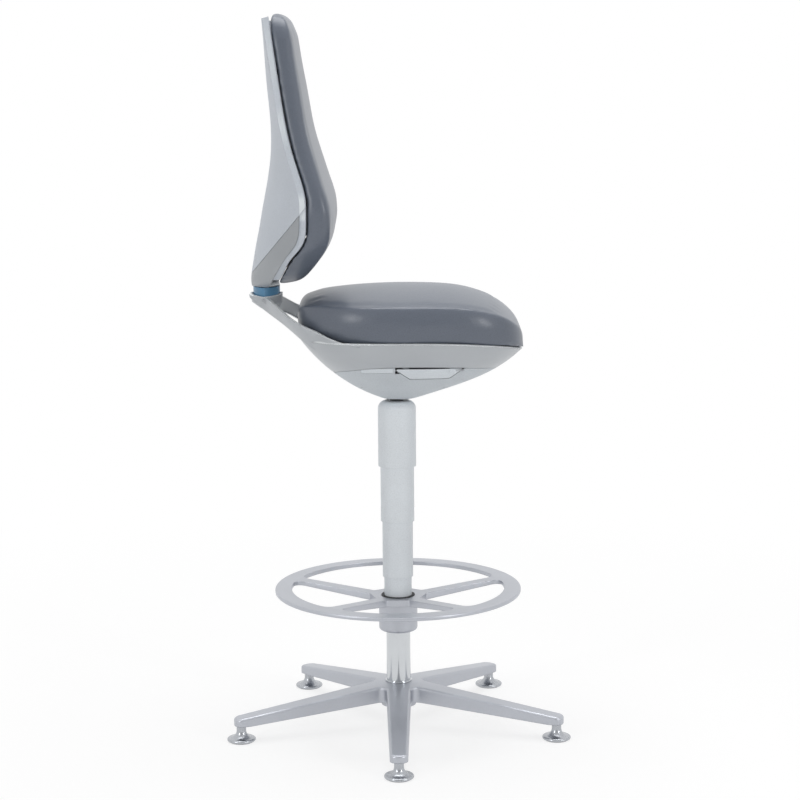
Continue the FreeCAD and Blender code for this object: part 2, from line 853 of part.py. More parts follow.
def seam_share(turn):
    # where the cover meets the frame: lower towards the rear, and a little towards the front
    dip = size.bowl_seam_front_dip.value if rim_plan(turn)[0] > 0 else size.bowl_seam_rear_dip.value
    return size.bowl_seam.value - dip * lengthways_share(turn)


def frame_share(turn):
    return seam_share(turn) + seam_gap / size.bowl_half_width.value


def middle_share(turn):
    return innermost_share


def rim_share(turn):
    return 1.0


def bowl_half_width_at(rise):
    # half width of the bowl straight across the column at a height above its underside
    low, high = opening_share, 1.0
    for step in range(40):
        middle = (low + high) / 2
        if bowl_point(middle, math.pi / 2).z - seat_level.value < rise:
            low = middle
        else:
            high = middle
    return size.bowl_half_width.value * low


def skin(grid):
    surface = Part.BSplineSurface()
    surface.interpolate(grid)
    return surface


def bowl_ring(low_edge, high_edge, wall):
    # closed shell of the bowl between two edges, given as shares at each turn, in two halves either side of
    # the middle plane
    faces = []
    for side in (1, -1):
        turns = [side * math.pi * n / half_turn_steps for n in range(half_turn_steps + 1)]
        steps = [(n / ring_steps) ** 0.8 for n in range(ring_steps + 1)]
        walls = [skin([[bowl_point(low_edge(turn) + (high_edge(turn) - low_edge(turn)) * step, turn, inset)
                        for turn in turns] for step in steps]) for inset in (0, wall)]
        faces += [surface.toShape() for surface in walls]
        low_u, high_u, low_v, high_v = walls[0].bounds()
        for edge_u in (low_u, high_u):
            rims = [surface.uIso(edge_u).toShape() for surface in walls]
            faces.append(Part.makeRuledSurface(*rims))
    shell = Part.makeShell(faces)
    shell.sewShape()
    solid = Part.makeSolid(shell)
    if solid.Volume < 0:
        solid.reverse()
    return solid


# halvings in each search for a point on the bowl
search_steps = 24


# Paddle outline on the bowl's flank, as a prism along Y; side is -1 for the sitter's right
def paddle_levels():
    top = bowl_point(size.bowl_seam.value, math.pi / 2).z - size.paddle_top_gap.value
    return top - size.paddle_drop.value, top


def paddle_corners(grow, lift):
    low, top = paddle_levels()
    start = size.paddle_start.value
    finish = start + size.paddle_top_length.value
    inset = (size.paddle_top_length.value - size.paddle_bottom_length.value) / 2
    shoulder = top - size.insert_height.value / 3
    return [
        (start - grow, top + lift),
        (start - grow, shoulder - grow / 3),
        (start + inset - grow / 2, low - grow),
        (finish - inset + grow / 2, low - grow),
        (finish + grow, shoulder - grow / 3),
        (finish + grow, top + lift),
    ]


def paddle_prism(side, grow):
    low, top = paddle_levels()
    start = size.paddle_start.value
    finish = start + size.paddle_top_length.value
    lift = size.paddle_top_gap.value * 3 if grow else 0
    corners = paddle_corners(grow, lift)
    reach = side * size.bowl_half_width.value
    wire = Part.makePolygon([Vector(x, 0, z) for x, z in corners + corners[:1]])
    prism = Part.Face(wire).extrude(Vector(0, reach, 0))
    if grow:
        slot = size.paddle_slot.value
        y_low, y_high = sorted((0, reach))
        slots = ((start - slot, start + 1.4 * slot, 1.2), (finish - slot / 3, finish + slot, 0.7))
        for slot_start, slot_end, deep in slots:
            prism = prism.fuse(block_shape(Vector(slot_start, y_low, top - deep * size.insert_height.value),
                                           Vector(slot_end, y_high, top + lift)))
    return prism.removeSplitter()


def flank_point(x, level, side):
    # point of the bowl's outer face at the given place along X and the given height
    turn_low, turn_high = 0, math.pi
    for turn_step in range(search_steps):
        turn = (turn_low + turn_high) / 2
        share_low, share_high = innermost_share, 1
        for share_step in range(search_steps):
            share = (share_low + share_high) / 2
            point = bowl_point(share, turn)
            if point.z < level:
                share_low = share
            else:
                share_high = share
        if point.x > x:
            turn_low = turn
        else:
            turn_high = turn
    return Vector(x, side * point.y, level)


def swing_prism(side):
    # the paddle's outline carried along the way that its lower edge swings, so that the edge clears the cover
    points = [flank_point(x, level, side) for x, level in paddle_corners(0, 0)]
    pin_y, pin_z = hinge_place(side)
    edge = (points[2] + points[3]) * 0.5
    along = Vector(0, pin_y - edge.y, pin_z - edge.z).normalize()
    way = Vector(0, -along.z, along.y)
    flat = [point - way * (point - edge).dot(way) for point in points]
    reach = size.paddle_drop.value
    for corner in (0, -1):
        flat[corner] = flat[corner] + along * reach
    wire = Part.makePolygon([point - way * reach for point in flat + flat[:1]])
    return Part.Face(wire).extrude(way * (2 * reach))


def insert_prism(side, grow):
    low, top = paddle_levels()
    finish = size.paddle_start.value - size.paddle_slot.value - size.paddle_gap.value
    finish -= size.paddle_lug.value / 4
    start = finish - size.insert_length.value
    y_low, y_high = sorted((side * 60, side * size.bowl_half_width.value))
    return block_shape(Vector(start - grow, y_low, top - size.insert_height.value - grow),
                       Vector(finish + grow, y_high, top + size.paddle_top_gap.value / 2 + grow))


def hinge_place(side):
    # the paddle's pin lies just inside the bowl's wall, near the paddle's upper edge
    low, top = paddle_levels()
    level = top - size.paddle_pin_radius.value - 1
    clear = size.shell_wall.value + size.paddle_pin_radius.value + size.paddle_pin_clear.value
    inside = bowl_half_width_at(level - seat_level.value) - clear
    return side * inside, level


def lower_cover_and_paddles():
    whole = bowl_ring(middle_share, seam_share, size.shell_wall.value)
    opening = Part.makeCylinder(size.bowl_opening.value, size.bowl_depth.value,
                                Vector(0, 0, seat_level.value - 10))
    cover = whole.cut(opening)
    gap = size.paddle_gap.value
    slot = size.paddle_slot.value
    pin_radius = size.paddle_pin_radius.value
    start = size.paddle_start.value
    finish = start + size.paddle_top_length.value
    lug = size.paddle_lug.value
    pins = []
    plugs = []
    for side, name in ((-1, "height"), (1, "tilt")):
        flap = whole.common(paddle_prism(side, 0)).common(swing_prism(side))
        cover = cover.cut(paddle_prism(side, gap))
        plug = whole.common(insert_prism(side, 0))
        cover = cover.cut(insert_prism(side, gap / 4))
        pin_y, pin_z = hinge_place(side)
        pin_low = Vector(start - slot - lug / 4, pin_y, pin_z)
        pin_high = Vector(finish + slot + lug / 4, pin_y, pin_z)
        pin = bar_shape(pin_low, pin_high, pin_radius)
        reach = pin_radius + 3
        skin_y = side * (bowl_half_width_at(pin_z - reach - seat_level.value) - 1)
        lugs = []
        for lug_start in (start + lug, finish - 2 * lug):
            lugs.append(block_shape(
                Vector(lug_start, min(skin_y, pin_y - side * reach), pin_z - reach),
                Vector(lug_start + lug, max(skin_y, pin_y - side * reach), pin_z + reach)))
        arm_y = sorted((skin_y, pin_y - side * size.paddle_arm_reach.value))
        bar_top = bar_level().value + size.bar_thickness.value
        arm_low = bar_top + size.moving_gap.value
        lugs.append(block_shape(Vector(start + 1, arm_y[0], arm_low),
                                Vector(start + 1 + lug, arm_y[1], arm_low + size.bar_thickness.value)))
        paddle = flap.multiFuse(lugs).cut(bar_shape(pin_low, pin_high, pin_radius + size.running_fit.value))
        keep(name + "_paddle", solid_feature(name + "_paddle", paddle.removeSplitter()))
        pillars = []
        for pillar_start in (pin_low.x, pin_high.x - lug / 4):
            pillars.append(block_shape(
                Vector(pillar_start, min(skin_y, pin_y - side * reach), pin_z - reach),
                Vector(pillar_start + lug / 4, max(skin_y, pin_y - side * reach), pin_z + pin_radius)))
        cover = cover.multiFuse(pillars)
        cover = cover.cut(bar_shape(pin_low, pin_high, pin_radius + size.press_fit.value))
        pins.append(pin)
        plugs.append(plug)
    group("paddle_pins", pins)
    group("side_inserts", plugs)
    for foot, head in cover_screw_places():
        cover = cover.cut(bar_shape(foot, head, size.screw_radius.value + size.running_fit.value))
    keep("lower_cover", solid_feature("lower_cover", largest_solid(cover.removeSplitter())))


def bar_level():
    # underside of the release bar, just above the release pin
    return socket_top + size.release_pin_proud + size.bar_play


def cover_screw_places():
    places = []
    for way_x in (-1, 1):
        for way_y in (-1, 1):
            turn = math.atan2(way_y, way_x)
            foot = bowl_point(0.45, turn)
            places.append((foot + Vector(0, 0, 0.4), Vector(foot.x, foot.y, plate_low.value)))
    return places


# Tilt bracket on the cylinder's taper, and the trunnions that the seat tilts on
def tilt_bracket():
    low = socket_low.value
    top = socket_top.value
    slope = size.taper_drop.value / size.taper_length.value
    wide = size.cylinder_radius.value - slope * (low - (top - size.taper_length.value)) + size.press_fit.value
    narrow = size.cylinder_radius.value - size.taper_drop.value + size.press_fit.value
    boss = Part.makeCylinder(size.bracket_radius.value, top - low, Vector(0, 0, low))
    boss = boss.cut(Part.makeCone(wide, narrow, top - low, Vector(0, 0, low)))
    ear_in = size.bracket_radius.value + size.ear_gap.value
    ear_out = ear_in + size.ear_thickness.value
    clip = size.axle_clip_thickness.value
    pivot = pivot_level.value
    axles = []
    bushes = []
    clips = []
    ears = []
    discs = []
    bush_radius = size.axle_radius.value + size.bush_wall.value
    bar_low = bar_level().value - pivot
    window = size.ear_window.value / 2
    for side in (-1, 1):
        start = Vector(0, side * size.axle_root.value, pivot)
        finish = Vector(0, side * (ear_out + clip * 2), pivot)
        axles.append(bar_shape(start, finish, size.axle_radius.value))
        boss = boss.cut(bar_shape(start, finish, size.axle_radius.value + size.press_fit.value))
        inner = Vector(0, side * ear_in, pivot)
        outer = Vector(0, side * ear_out, pivot)
        bush = bar_shape(inner, outer, bush_radius)
        bushes.append(bush.cut(bar_shape(start, finish, size.axle_radius.value + size.running_fit.value)))
        clip_start = Vector(0, side * (ear_out + size.moving_gap.value), pivot)
        clip_end = Vector(0, side * (ear_out + size.moving_gap.value + clip), pivot)
        clip_ring = bar_shape(clip_start, clip_end, size.axle_radius.value + 3)
        clips.append(clip_ring.cut(bar_shape(start, finish, size.axle_radius.value + size.press_fit.value)))
        ear = bar_shape(inner, outer, size.ear_round.value)
        half = size.ear_width.value / 2
        y_low, y_high = sorted((inner.y, outer.y))
        ear = ear.fuse(block_shape(Vector(-half, y_low, pivot), Vector(half, y_high, plate_low.value)))
        ear = ear.cut(bar_shape(start, finish, bush_radius + size.press_fit.value))
        ear = ear.cut(block_shape(Vector(-window, y_low - 1, pivot + bar_low - 6),
                                  Vector(window, y_high + 1, pivot + bar_low + size.bar_thickness.value + 5)))
        ears.append(ear.removeSplitter())
        disc_start = Vector(0, side * (ear_in - size.friction_disc.value), pivot)
        disc_end = Vector(0, side * (ear_in - size.press_fit.value), pivot)
        disc = bar_shape(disc_start, disc_end, bush_radius)
        discs.append(disc.cut(bar_shape(start, finish, size.axle_radius.value + size.running_fit.value)))
    keep("tilt_bracket", solid_feature("tilt_bracket", boss))
    group("tilt_axles", axles)
    group("tilt_bushes", bushes)
    group("axle_clips", clips)
    group("axle_ears", ears)
    group("friction_discs", discs)


# Plate, posts and pan that carry the seat
def seat_plates():
    def rounded_plate(label, rear, front, half_width, corner, low, thickness):
        body = padded_outline(label, "XY_Plane", [(-rear, -half_width), (front, -half_width),
                                                  (front, half_width), (-rear, half_width)], low, thickness)
        round_edges(body, label + "_rounds", corner, is_upright)
        return keep(label, body)

    rounded_plate("seat_plate", size.plate_rear, size.plate_front, size.plate_half_width, size.plate_round,
                  plate_low, size.plate_thickness)
    rounded_plate("seat_pan", size.pan_rear, size.pan_front, size.pan_half_width, size.pan_round,
                  pan_low, size.pan_thickness)
    posts = []
    for way_x in (-1, 1):
        for way_y in (-1, 1):
            foot = Vector(way_x * size.post_spread_x.value, way_y * size.post_spread_y.value,
                          plate_top.value)
            posts.append(Part.makeCylinder(size.post_radius.value, pan_low.value - plate_top.value, foot))
    group("pan_posts", posts)
    screws = []
    for foot, head in cover_screw_places():
        screws.append(bar_shape(foot, head, size.screw_radius.value))
    group("cover_screws", screws)


# Release bar on its hanger, and the brake that the other paddle works
def release_parts():
    low = bar_level().value
    thick = size.bar_thickness.value
    half = size.bar_width.value / 2
    fulcrum = size.bar_fulcrum.value
    end = abs(hinge_place(-1)[0]) - size.paddle_arm_reach.value - 1
    tip = -end - 5
    bar = block_shape(Vector(-half, tip, low), Vector(half, fulcrum + 8, low + thick))
    # bevel under the bar's tip, which dips towards the cover
    bevel_length = 10
    bevel = [Vector(-half, tip, low), Vector(-half, tip + bevel_length, low),
             Vector(-half, tip, low + thick / 2)]
    bar = bar.cut(Part.Face(Part.makePolygon(bevel + bevel[:1])).extrude(Vector(2 * half, 0, 0)))
    pin_level = low + thick + 3
    eye_radius = 6
    eye = bar_shape(Vector(-half, fulcrum, pin_level), Vector(half, fulcrum, pin_level), eye_radius)
    pin_radius = size.paddle_pin_radius.value
    hang = size.hanger_thickness.value
    side_gap = size.moving_gap.value
    pin_start = Vector(-half - side_gap - hang, fulcrum, pin_level)
    pin_end = Vector(half + side_gap + hang, fulcrum, pin_level)
    bar = bar.fuse(eye).cut(bar_shape(pin_start, pin_end, pin_radius + size.running_fit.value))
    keep("release_bar", solid_feature("release_bar", bar.removeSplitter()))
    keep("bar_pin", solid_feature("bar_pin", bar_shape(pin_start, pin_end, pin_radius)))
    hanger = []
    for side in (-1, 1):
        x_low, x_high = sorted((side * (half + side_gap), side * (half + side_gap + hang)))
        leaf = block_shape(Vector(x_low, fulcrum - eye_radius, pin_level - eye_radius),
                           Vector(x_high, fulcrum + eye_radius, plate_low.value))
        hanger.append(leaf.cut(bar_shape(pin_start, pin_end, pin_radius + size.press_fit.value)))
    group("bar_hanger", hanger)


# Lens-shaped plan of the neck: two arcs that meet in a corner at each side
def lens(level, scale, grow, shift=0):
    centre = shift - size.neck_offset.value
    half = size.neck_half_width.value * scale + grow
    left = Vector(centre, half, level)
    right = Vector(centre, -half, level)
    front = Vector(centre + size.neck_front.value * scale + grow, 0, level)
    rear = Vector(centre - size.neck_rear.value * scale - grow, 0, level)
    return Part.Wire([Part.Arc(left, front, right).toShape(), Part.Arc(right, rear, left).toShape()])


def lens_prism(low, top, grow):
    return Part.Face(lens(low, 1, grow)).extrude(Vector(0, 0, top - low))


cup_top = seat_level + size.neck_rise


# Seat frame: the silver band above the bowl's seam, two arms that close in on the neck, and the cup there
def rim_turn(x):
    # turn at which the rim's plan is at the given place along X, on the +Y side
    half_length = (size.bowl_front.value + size.bowl_rear.value) / 2
    centre = (size.bowl_front.value - size.bowl_rear.value) / 2
    return math.acos(signed_power((x - centre) / half_length, 1 / plan_power))


def arm_sections():
    # sections of an arm on the +Y side: five points up its outer face, and a share of its thickness
    rim = seat_level.value + size.bowl_depth.value
    sections = []
    # on the band, in the middle of its wall: share of the bowl's rear, lift above the band and thickness
    banded = ((0.36, -4, 0.05), (0.48, 0.5, 0.1), (0.60, 7, 0.2), (0.70, 13, 0.7), (0.80, 21, 0.95))
    inset = size.shell_wall.value / 2
    for share, lift, thick in banded:
        turn = rim_turn(-share * size.bowl_rear.value)
        points = [bowl_point(place, turn, inset) for place in (0.90, 0.94, 0.97, 0.99)]
        sections.append((points + [bowl_point(0.998, turn, inset / 2) + Vector(0, 0, lift)], thick))
    run = size.neck_offset.value
    near = size.neck_half_width.value
    wide = size.bowl_half_width.value - near
    climb_height = cup_top.value - rim
    # free part: share of the neck's offset, share of the way out from the neck to the bowl's side, the
    # inward way, the levels of its top and of its underside as shares of the climb to the cup, and the
    # depth inward of the underside
    free = (
        (0.694, 0.665, (0.58, -0.81), 0.40, -0.10, 17),
        (0.792, 0.519, (0.70, -0.71), 0.55, 0.10, 18),
        (0.875, 0.354, (0.79, -0.61), 0.74, 0.30, 16),
        (0.943, 0.190, (0.84, -0.54), 0.90, 0.45, 13),
        (1.000, 0.032, (0.72, -0.69), 0.98, 0.58, 10),
        (1.070, -0.061, (0.79, -0.61), 1.01, 0.76, 7),
        (1.114, -0.206, (0.96, -0.28), 1.035, 0.90, 4),
    )
    swell = 1.5
    for share_x, share_y, way, high, low, slope in free:
        inward = Vector(*way, 0).normalize()
        top = Vector(-share_x * run, near + share_y * wide, rim + high * climb_height)
        foot = top + inward * slope
        foot.z = rim + low * climb_height
        points = []
        for step in (0, 0.25, 0.5, 0.75, 1):
            points.append(foot + (top - foot) * step - inward * (4 * swell * step * (1 - step)))
        sections.append((points, 1))
    return sections


def arm_shape(side):
    sections = arm_sections()
    outer = [[Vector(point.x, side * point.y, point.z) for point in points] for points, thick in sections]
    inner = []
    for number, (points, thick) in enumerate(sections):
        before = sections[max(number - 1, 0)][0][-1]
        after = sections[min(number + 1, len(sections) - 1)][0][-1]
        inward = Vector(before.y - after.y, after.x - before.x, 0).normalize()
        inward = inward * (thick * size.arm_thickness.value)
        inner.append([Vector(point.x + inward.x, side * (point.y + inward.y), point.z) for point in points])
    walls = [skin(outer), skin(inner)]
    faces = [wall.toShape() for wall in walls]
    low_u, high_u, low_v, high_v = walls[0].bounds()
    for edge_u in (low_u, high_u):
        faces.append(Part.makeRuledSurface(*(wall.uIso(edge_u).toShape() for wall in walls)))
    for edge_v in (low_v, high_v):
        faces.append(Part.makeRuledSurface(*(wall.vIso(edge_v).toShape() for wall in walls)))
    shell = Part.makeShell(faces)
    shell.sewShape()
    solid = Part.makeSolid(shell)
    if solid.Volume < 0:
        solid.reverse()
    return solid


# how far the cup's pocket lies rearward of the neck, so that the neck can recline in it
recline_room = 1.4


def seat_frame():
    band = bowl_ring(frame_share, rim_share, size.shell_wall.value)
    top = cup_top.value
    arms = [arm_shape(side) for side in (-1, 1)]
    cup_wall = size.cup_gap.value + size.cup_wall.value
    cup_low = top - size.cup_depth.value
    saddle = size.cup_saddle.value
    cup = Part.makeLoft([lens(cup_low, 0.5, cup_wall, 7), lens(top - 14, 0.95, cup_wall, 1),
                         lens(top + saddle, 1, cup_wall)], True, True)
    # the cup's rim falls from its front and rear to its two sides
    half_cup = size.neck_half_width.value + cup_wall
    for side in (-1, 1):
        corners = [Vector(-size.neck_offset.value - half_cup, side * y, z) for y, z in (
            (0, top + saddle), (half_cup, top), (half_cup, top + 2 * saddle), (0, top + 2 * saddle))]
        roof = Part.Face(Part.makePolygon(corners + corners[:1])).extrude(Vector(2 * half_cup, 0, 0))
        cup = cup.cut(roof)
    rib_low = pan_low.value - size.rib_height.value
    half_rib = size.rib_width.value / 2
    ribs = []
    for way in (-1, 1):
        x = way * size.rib_place.value
        turn = rim_turn(x - half_rib)
        half = rib_share() * rim_plan(turn)[1] - 1
        ribs.append(block_shape(Vector(x - half_rib, -half, rib_low),
                                Vector(x + half_rib, half, pan_low.value)))
    frame = band.multiFuse(arms + [cup] + ribs)
    gap = size.cup_gap.value
    pocket = [lens(top - size.neck_sink.value - 3, size.neck_taper.value, 2 * gap, 3),
              lens(top - 12, 0.95, gap, 1 - recline_room), lens(top + saddle + 1, 1, gap, -recline_room)]
    frame = frame.cut(Part.makeLoft(pocket, True, True))
    for side in (-1, 1):
        frame = frame.cut(neck_pin(side, size.press_fit.value))
    keep("seat_frame", solid_feature("seat_frame", frame))


def rib_share():
    # share of the bowl's half width at the ribs' underside
    underside = pan_low.value - size.rib_height.value - seat_level.value
    return bowl_half_width_at(underside) / size.bowl_half_width.value


def neck_pin(side, grow):
    level = cup_top.value - size.neck_pin_drop.value
    start = Vector(-size.neck_offset.value, side * size.neck_pin_root.value, level)
    finish = Vector(-size.neck_offset.value, side * (size.neck_half_width.value + 6), level)
    return bar_shape(start, finish, size.neck_pin_radius.value + grow)


# Neck guide that the backrest's stem slides in, with its pins and bushes
def neck():
    top = cup_top.value
    shown = size.neck_shown.value
    sink = size.neck_sink.value
    guide = lens_prism(top - 3, top + shown, 0)
    lower = Part.makeLoft([lens(top - sink, size.neck_taper.value, 0, 3), lens(top - 3, 1, 0)], True, True)
    guide = guide.fuse(lower)
    half_thick = size.stem_thickness.value / 2 + size.press_fit.value
    half_wide = size.stem_width.value / 2 + size.press_fit.value
    centre = -size.neck_offset.value
    guide = guide.cut(block_shape(Vector(centre - half_thick, -half_wide, top - sink - 5),
                                  Vector(centre + half_thick, half_wide, top + shown + 5)))
    bushes = []
    pins = []
    bush_grow = size.neck_bush_wall.value + size.running_fit.value
    for side in (-1, 1):
        guide = guide.cut(neck_pin(side, bush_grow + size.press_fit.value))
        pins.append(neck_pin(side, 0))
        half = size.neck_half_width.value - 5
        y_low, y_high = sorted((side * (size.neck_pin_root.value), side * half))
        bush = neck_pin(side, bush_grow).cut(neck_pin(side, size.running_fit.value))
        room = block_shape(Vector(centre - 20, y_low, top - 40), Vector(centre + 20, y_high, top))
        bushes.append(bush.common(room))
    keep("neck_guide", solid_feature("neck_guide", guide.removeSplitter()))
    group("neck_pins", pins)
    group("neck_bushes", bushes)


# Backrest stations: share of the height, share of the half width, and the places along X, from the neck's
# centre line, of the spine at the rear and of the shell's front edge
back_stations = [
    (0.000, 0.240, -28, 22),
    (0.035, 0.420, -28.6, 33),
    (0.085, 0.600, -24.6, 47.8),
    (0.140, 0.770, -19.4, 66.5),
    (0.190, 0.890, -14.0, 86),
    (0.230, 0.952, -9.8, 92),
    (0.290, 0.996, -4.1, 93.6),
    (0.345, 0.997, 1.6, 93.4),
    (0.390, 0.978, 6.3, 89.5),
    (0.480, 0.918, 13.8, 75),
    (0.600, 0.852, 16.8, 58),
    (0.750, 0.780, 11.2, 44.4),
    (0.900, 0.710, 6.4, 32.4),
    (1.000, 0.662, 3.3, 24.6),
    (1.045, 0.640, 1.9, 21),
]

# Back cushion stations: share of the height, share of the half width, and the places of its rear and front
back_cushion_stations = [
    (0.012, 0.250, 31, 54),
    (0.024, 0.350, 32.5, 74),
    (0.050, 0.470, 40, 93),
    (0.087, 0.590, 50.5, 109.5),
    (0.135, 0.750, 67.5, 127.5),
    (0.200, 0.905, 91, 142.5),
    (0.288, 0.992, 96, 144.6),
    (0.345, 0.992, 95.6, 139.5),
    (0.395, 0.972, 91, 131),
    (0.480, 0.915, 77, 117.3),
    (0.595, 0.850, 60.8, 100.3),
    (0.748, 0.780, 46.5, 86.7),
    (0.901, 0.710, 34.2, 73.3),
    (0.980, 0.668, 28, 66.5),
    (1.012, 0.615, 27, 60),
    (1.031, 0.535, 29, 51),
    (1.041, 0.440, 32, 44),
]


def back_level(share):
    return cup_top.value + size.neck_shown.value + size.carrier_gap.value + share * size.back_height.value


def crescent(station, outside, inside):
    # section of the shell between two depths below its outer surface, with a straight rim at each side
    share, width, spine, edge = station
    centre = -size.neck_offset.value
    level = back_level(share)
    half = width * size.back_half_width.value
    front = centre + edge
    behind = front - size.back_rim_band.value
    bevel = (inside - outside) / 2
    outer = [Vector(behind, half - outside, level), Vector(centre + spine + outside, 0, level),
             Vector(behind, outside - half, level)]
    inner = [Vector(behind, inside - half, level), Vector(centre + spine + inside, 0, level),
             Vector(behind, half - inside, level)]
    right = [outer[2], Vector(front - bevel, outside - half, level),
             Vector(front, inside - half, level), inner[0]]
    left = [inner[2], Vector(front, half - inside, level),
            Vector(front - bevel, half - outside, level), outer[0]]
    edges = [Part.Arc(*outer), *(Part.LineSegment(*pair) for pair in zip(right, right[1:])),
             Part.Arc(*inner), *(Part.LineSegment(*pair) for pair in zip(left, left[1:]))]
    return Part.Wire([edge.toShape() for edge in edges])


def side_prism(profile):
    # prism across the whole width from a profile of (x from the neck, z) corners
    wide = size.back_half_width.value + 50
    centre = -size.neck_offset.value
    corners = [Vector(centre + x, -wide, z) for x, z in profile]
    return Part.Face(Part.makePolygon(corners + corners[:1])).extrude(Vector(0, 2 * wide, 0))


# The carrier's upper seam slants from low at the spine to high at the shell's edge
seam_low_x, seam_low_share = -40, 0.018
seam_high_x, seam_high_share = 100, 0.344
lining_low_share, lining_high_share = 0.035, 0.48
# The shell's top slants up from the spine: its share there, and its slope
top_share, top_slope = 1.012, 0.26


def seam_level(x):
    low, high = back_level(seam_low_share), back_level(seam_high_share)
    return low + (high - low) * (x - seam_low_x) / (seam_high_x - seam_low_x)


def below_seam(lift):
    bottom = back_level(0) - 1
    return side_prism([(seam_low_x, bottom), (seam_high_x, bottom),
                       (seam_high_x, seam_level(seam_high_x) + lift),
                       (seam_low_x, seam_level(seam_low_x) + lift)])


def behind_strip():
    # everything behind a strip that follows the shell's front edge
    strip = size.carrier_strip.value
    edges = [(edge - strip, back_level(share)) for share, width, spine, edge in back_stations
             if share < lining_high_share - 0.05]
    bottom = back_level(0) - 1
    return side_prism([(seam_low_x, bottom), (edges[0][0], bottom)] + edges + [(seam_low_x, edges[-1][1])])


def back_shells():
    wall = size.back_shell_wall.value
    gap = size.carrier_seam_gap.value
    centre = -size.neck_offset.value
    whole = Part.makeLoft([crescent(station, 0, wall) for station in back_stations], True, False)
    reach = size.back_half_width.value
    high = [(x, back_level(top_share) + top_slope * x) for x in (-reach, reach)]
    whole = whole.cut(side_prism(high + [(x, z + reach) for x, z in reversed(high)]))
    lining = Part.makeLoft([crescent(station, wall - gap, 2 * wall) for station in back_stations],
                           True, False)
    wide = size.back_half_width.value
    behind = centre + min(spine for share, width, spine, edge in back_stations)
    lining = lining.common(block_shape(Vector(behind, -wide, back_level(lining_low_share)),
                                       Vector(behind + wide, wide, back_level(lining_high_share))))
    room = Part.makeLoft([crescent(station, -2, wall + gap) for station in back_stations], True, False)
    room = room.common(below_seam(gap))
    shell = whole.cut(below_seam(gap)).fuse(lining.cut(room))
    keep("back_shell", solid_feature("back_shell", shell))
    carrier = whole.common(below_seam(0)).common(behind_strip())
    bottom = back_level(0)
    slab = Part.makeLoft([lens(bottom, 1, 0), lens(bottom + 12, 0.92, 0)], True, True)
    half_thick = size.stem_thickness.value / 2
    half_wide = size.stem_width.value / 2
    stem = block_shape(Vector(centre - half_thick, -half_wide, cup_top.value - size.neck_sink.value),
                       Vector(centre + half_thick, half_wide, bottom + 5))
    tongue_seat = tongue_shape(size.press_fit.value)
    keep("back_carrier", solid_feature("back_carrier", carrier.multiFuse([slab, stem]).cut(tongue_seat)))
    keep("back_tongue", solid_feature("back_tongue", tongue_shape(0)))


def tongue_shape(grow):
    # flat steel tongue that stands in the carrier and leans with the slide
    thick = size.tongue_thickness.value / 2 + grow
    half = size.tongue_width.value / 2 + grow
    tongue = block_shape(Vector(-thick, -half, -grow), Vector(thick, half, size.tongue_length.value + grow))
    tongue.rotate(Vector(0, 0, 0), Vector(0, 1, 0), size.back_slide_lean.value)
    tongue.translate(Vector(-size.neck_offset.value + 2, 0, back_level(0) + 5))
    return tongue


def back_cushion():
    centre = -size.neck_offset.value
    sections = [cushion_section(centre + rear + size.back_skin_gap.value, centre + front,
                                width * size.back_half_width.value, back_level(share))
                for share, width, rear, front in back_cushion_stations]
    cushion = Part.makeLoft(sections, True, False)
    board = back_board(0)
    keep("back_cushion", solid_feature("back_cushion", cushion.cut(back_board(size.back_skin_gap.value))))
    keep("back_board", solid_feature("back_board", board))
    # slider that runs on the tongue, fixed to the board
    length_now = size.slider_length.value
    foot = back_level(0.215)
    board_rear = min(rear for share, width, rear, front in back_cushion_stations if 0.19 < share < 0.37)
    along = (foot - back_level(0) - 5) / math.cos(math.radians(size.back_slide_lean.value))
    tongue_x = 2 + along * math.sin(math.radians(size.back_slide_lean.value))
    wall = size.slider_wall.value
    half = size.tongue_width.value / 2 + wall
    block = block_shape(Vector(centre + tongue_x - size.tongue_thickness.value / 2 - wall, -half, foot),
                        Vector(centre + board_rear, half, foot + length_now))
    keep("back_slider", solid_feature("back_slider", block.cut(tongue_shape(size.slide_gap.value))))
    # posts between the board and the shell's wall
    wall = size.back_shell_wall.value
    whole = Part.makeLoft([crescent(station, 0, wall + size.press_fit.value) for station in back_stations],
                          True, False)
    posts = []
    for share in (0.52, 0.82):
        level = back_level(share)
        for side in (-1, 1):
            y = side * 0.25 * size.back_half_width.value
            spine, rear = back_line(share)
            start = Vector(centre + spine + wall * 0.7, y, level)
            finish = Vector(centre + rear, y, level)
            post = bar_shape(start, finish, size.back_post_radius.value)
            posts.append(largest_solid(post.cut(whole).cut(board)))
    group("back_posts", posts)


def back_line(share):
    # spine of the shell and rear of the cushion at a share of the height
    def between(rows, column):
        for first, second in zip(rows, rows[1:]):
            if first[0] <= share <= second[0]:
                part_way = (share - first[0]) / (second[0] - first[0])
                return first[column] + (second[column] - first[column]) * part_way

    return between(back_stations, 2), between(back_cushion_stations, 2)


# the board ends short of the cushion's foot and of its top
board_low_share, board_high_share = 0.08, 0.985


def back_board(grow):
    # stiff board let into the cushion's rear
    centre = -size.neck_offset.value
    wires = []
    for share, width, rear, front in back_cushion_stations:
        if not board_low_share < share < board_high_share:
            continue
        half = 0.8 * width * size.back_half_width.value + grow
        back = centre + rear + size.back_skin_gap.value - grow * 3
        face = centre + rear + size.back_skin_gap.value + size.back_board_thickness.value + grow
        level = back_level(share)
        wires.append(Part.makePolygon([Vector(back, -half, level), Vector(face, -half, level),
                                       Vector(face, half, level), Vector(back, half, level),
                                       Vector(back, -half, level)]))
    return Part.makeLoft(wires, True, False)


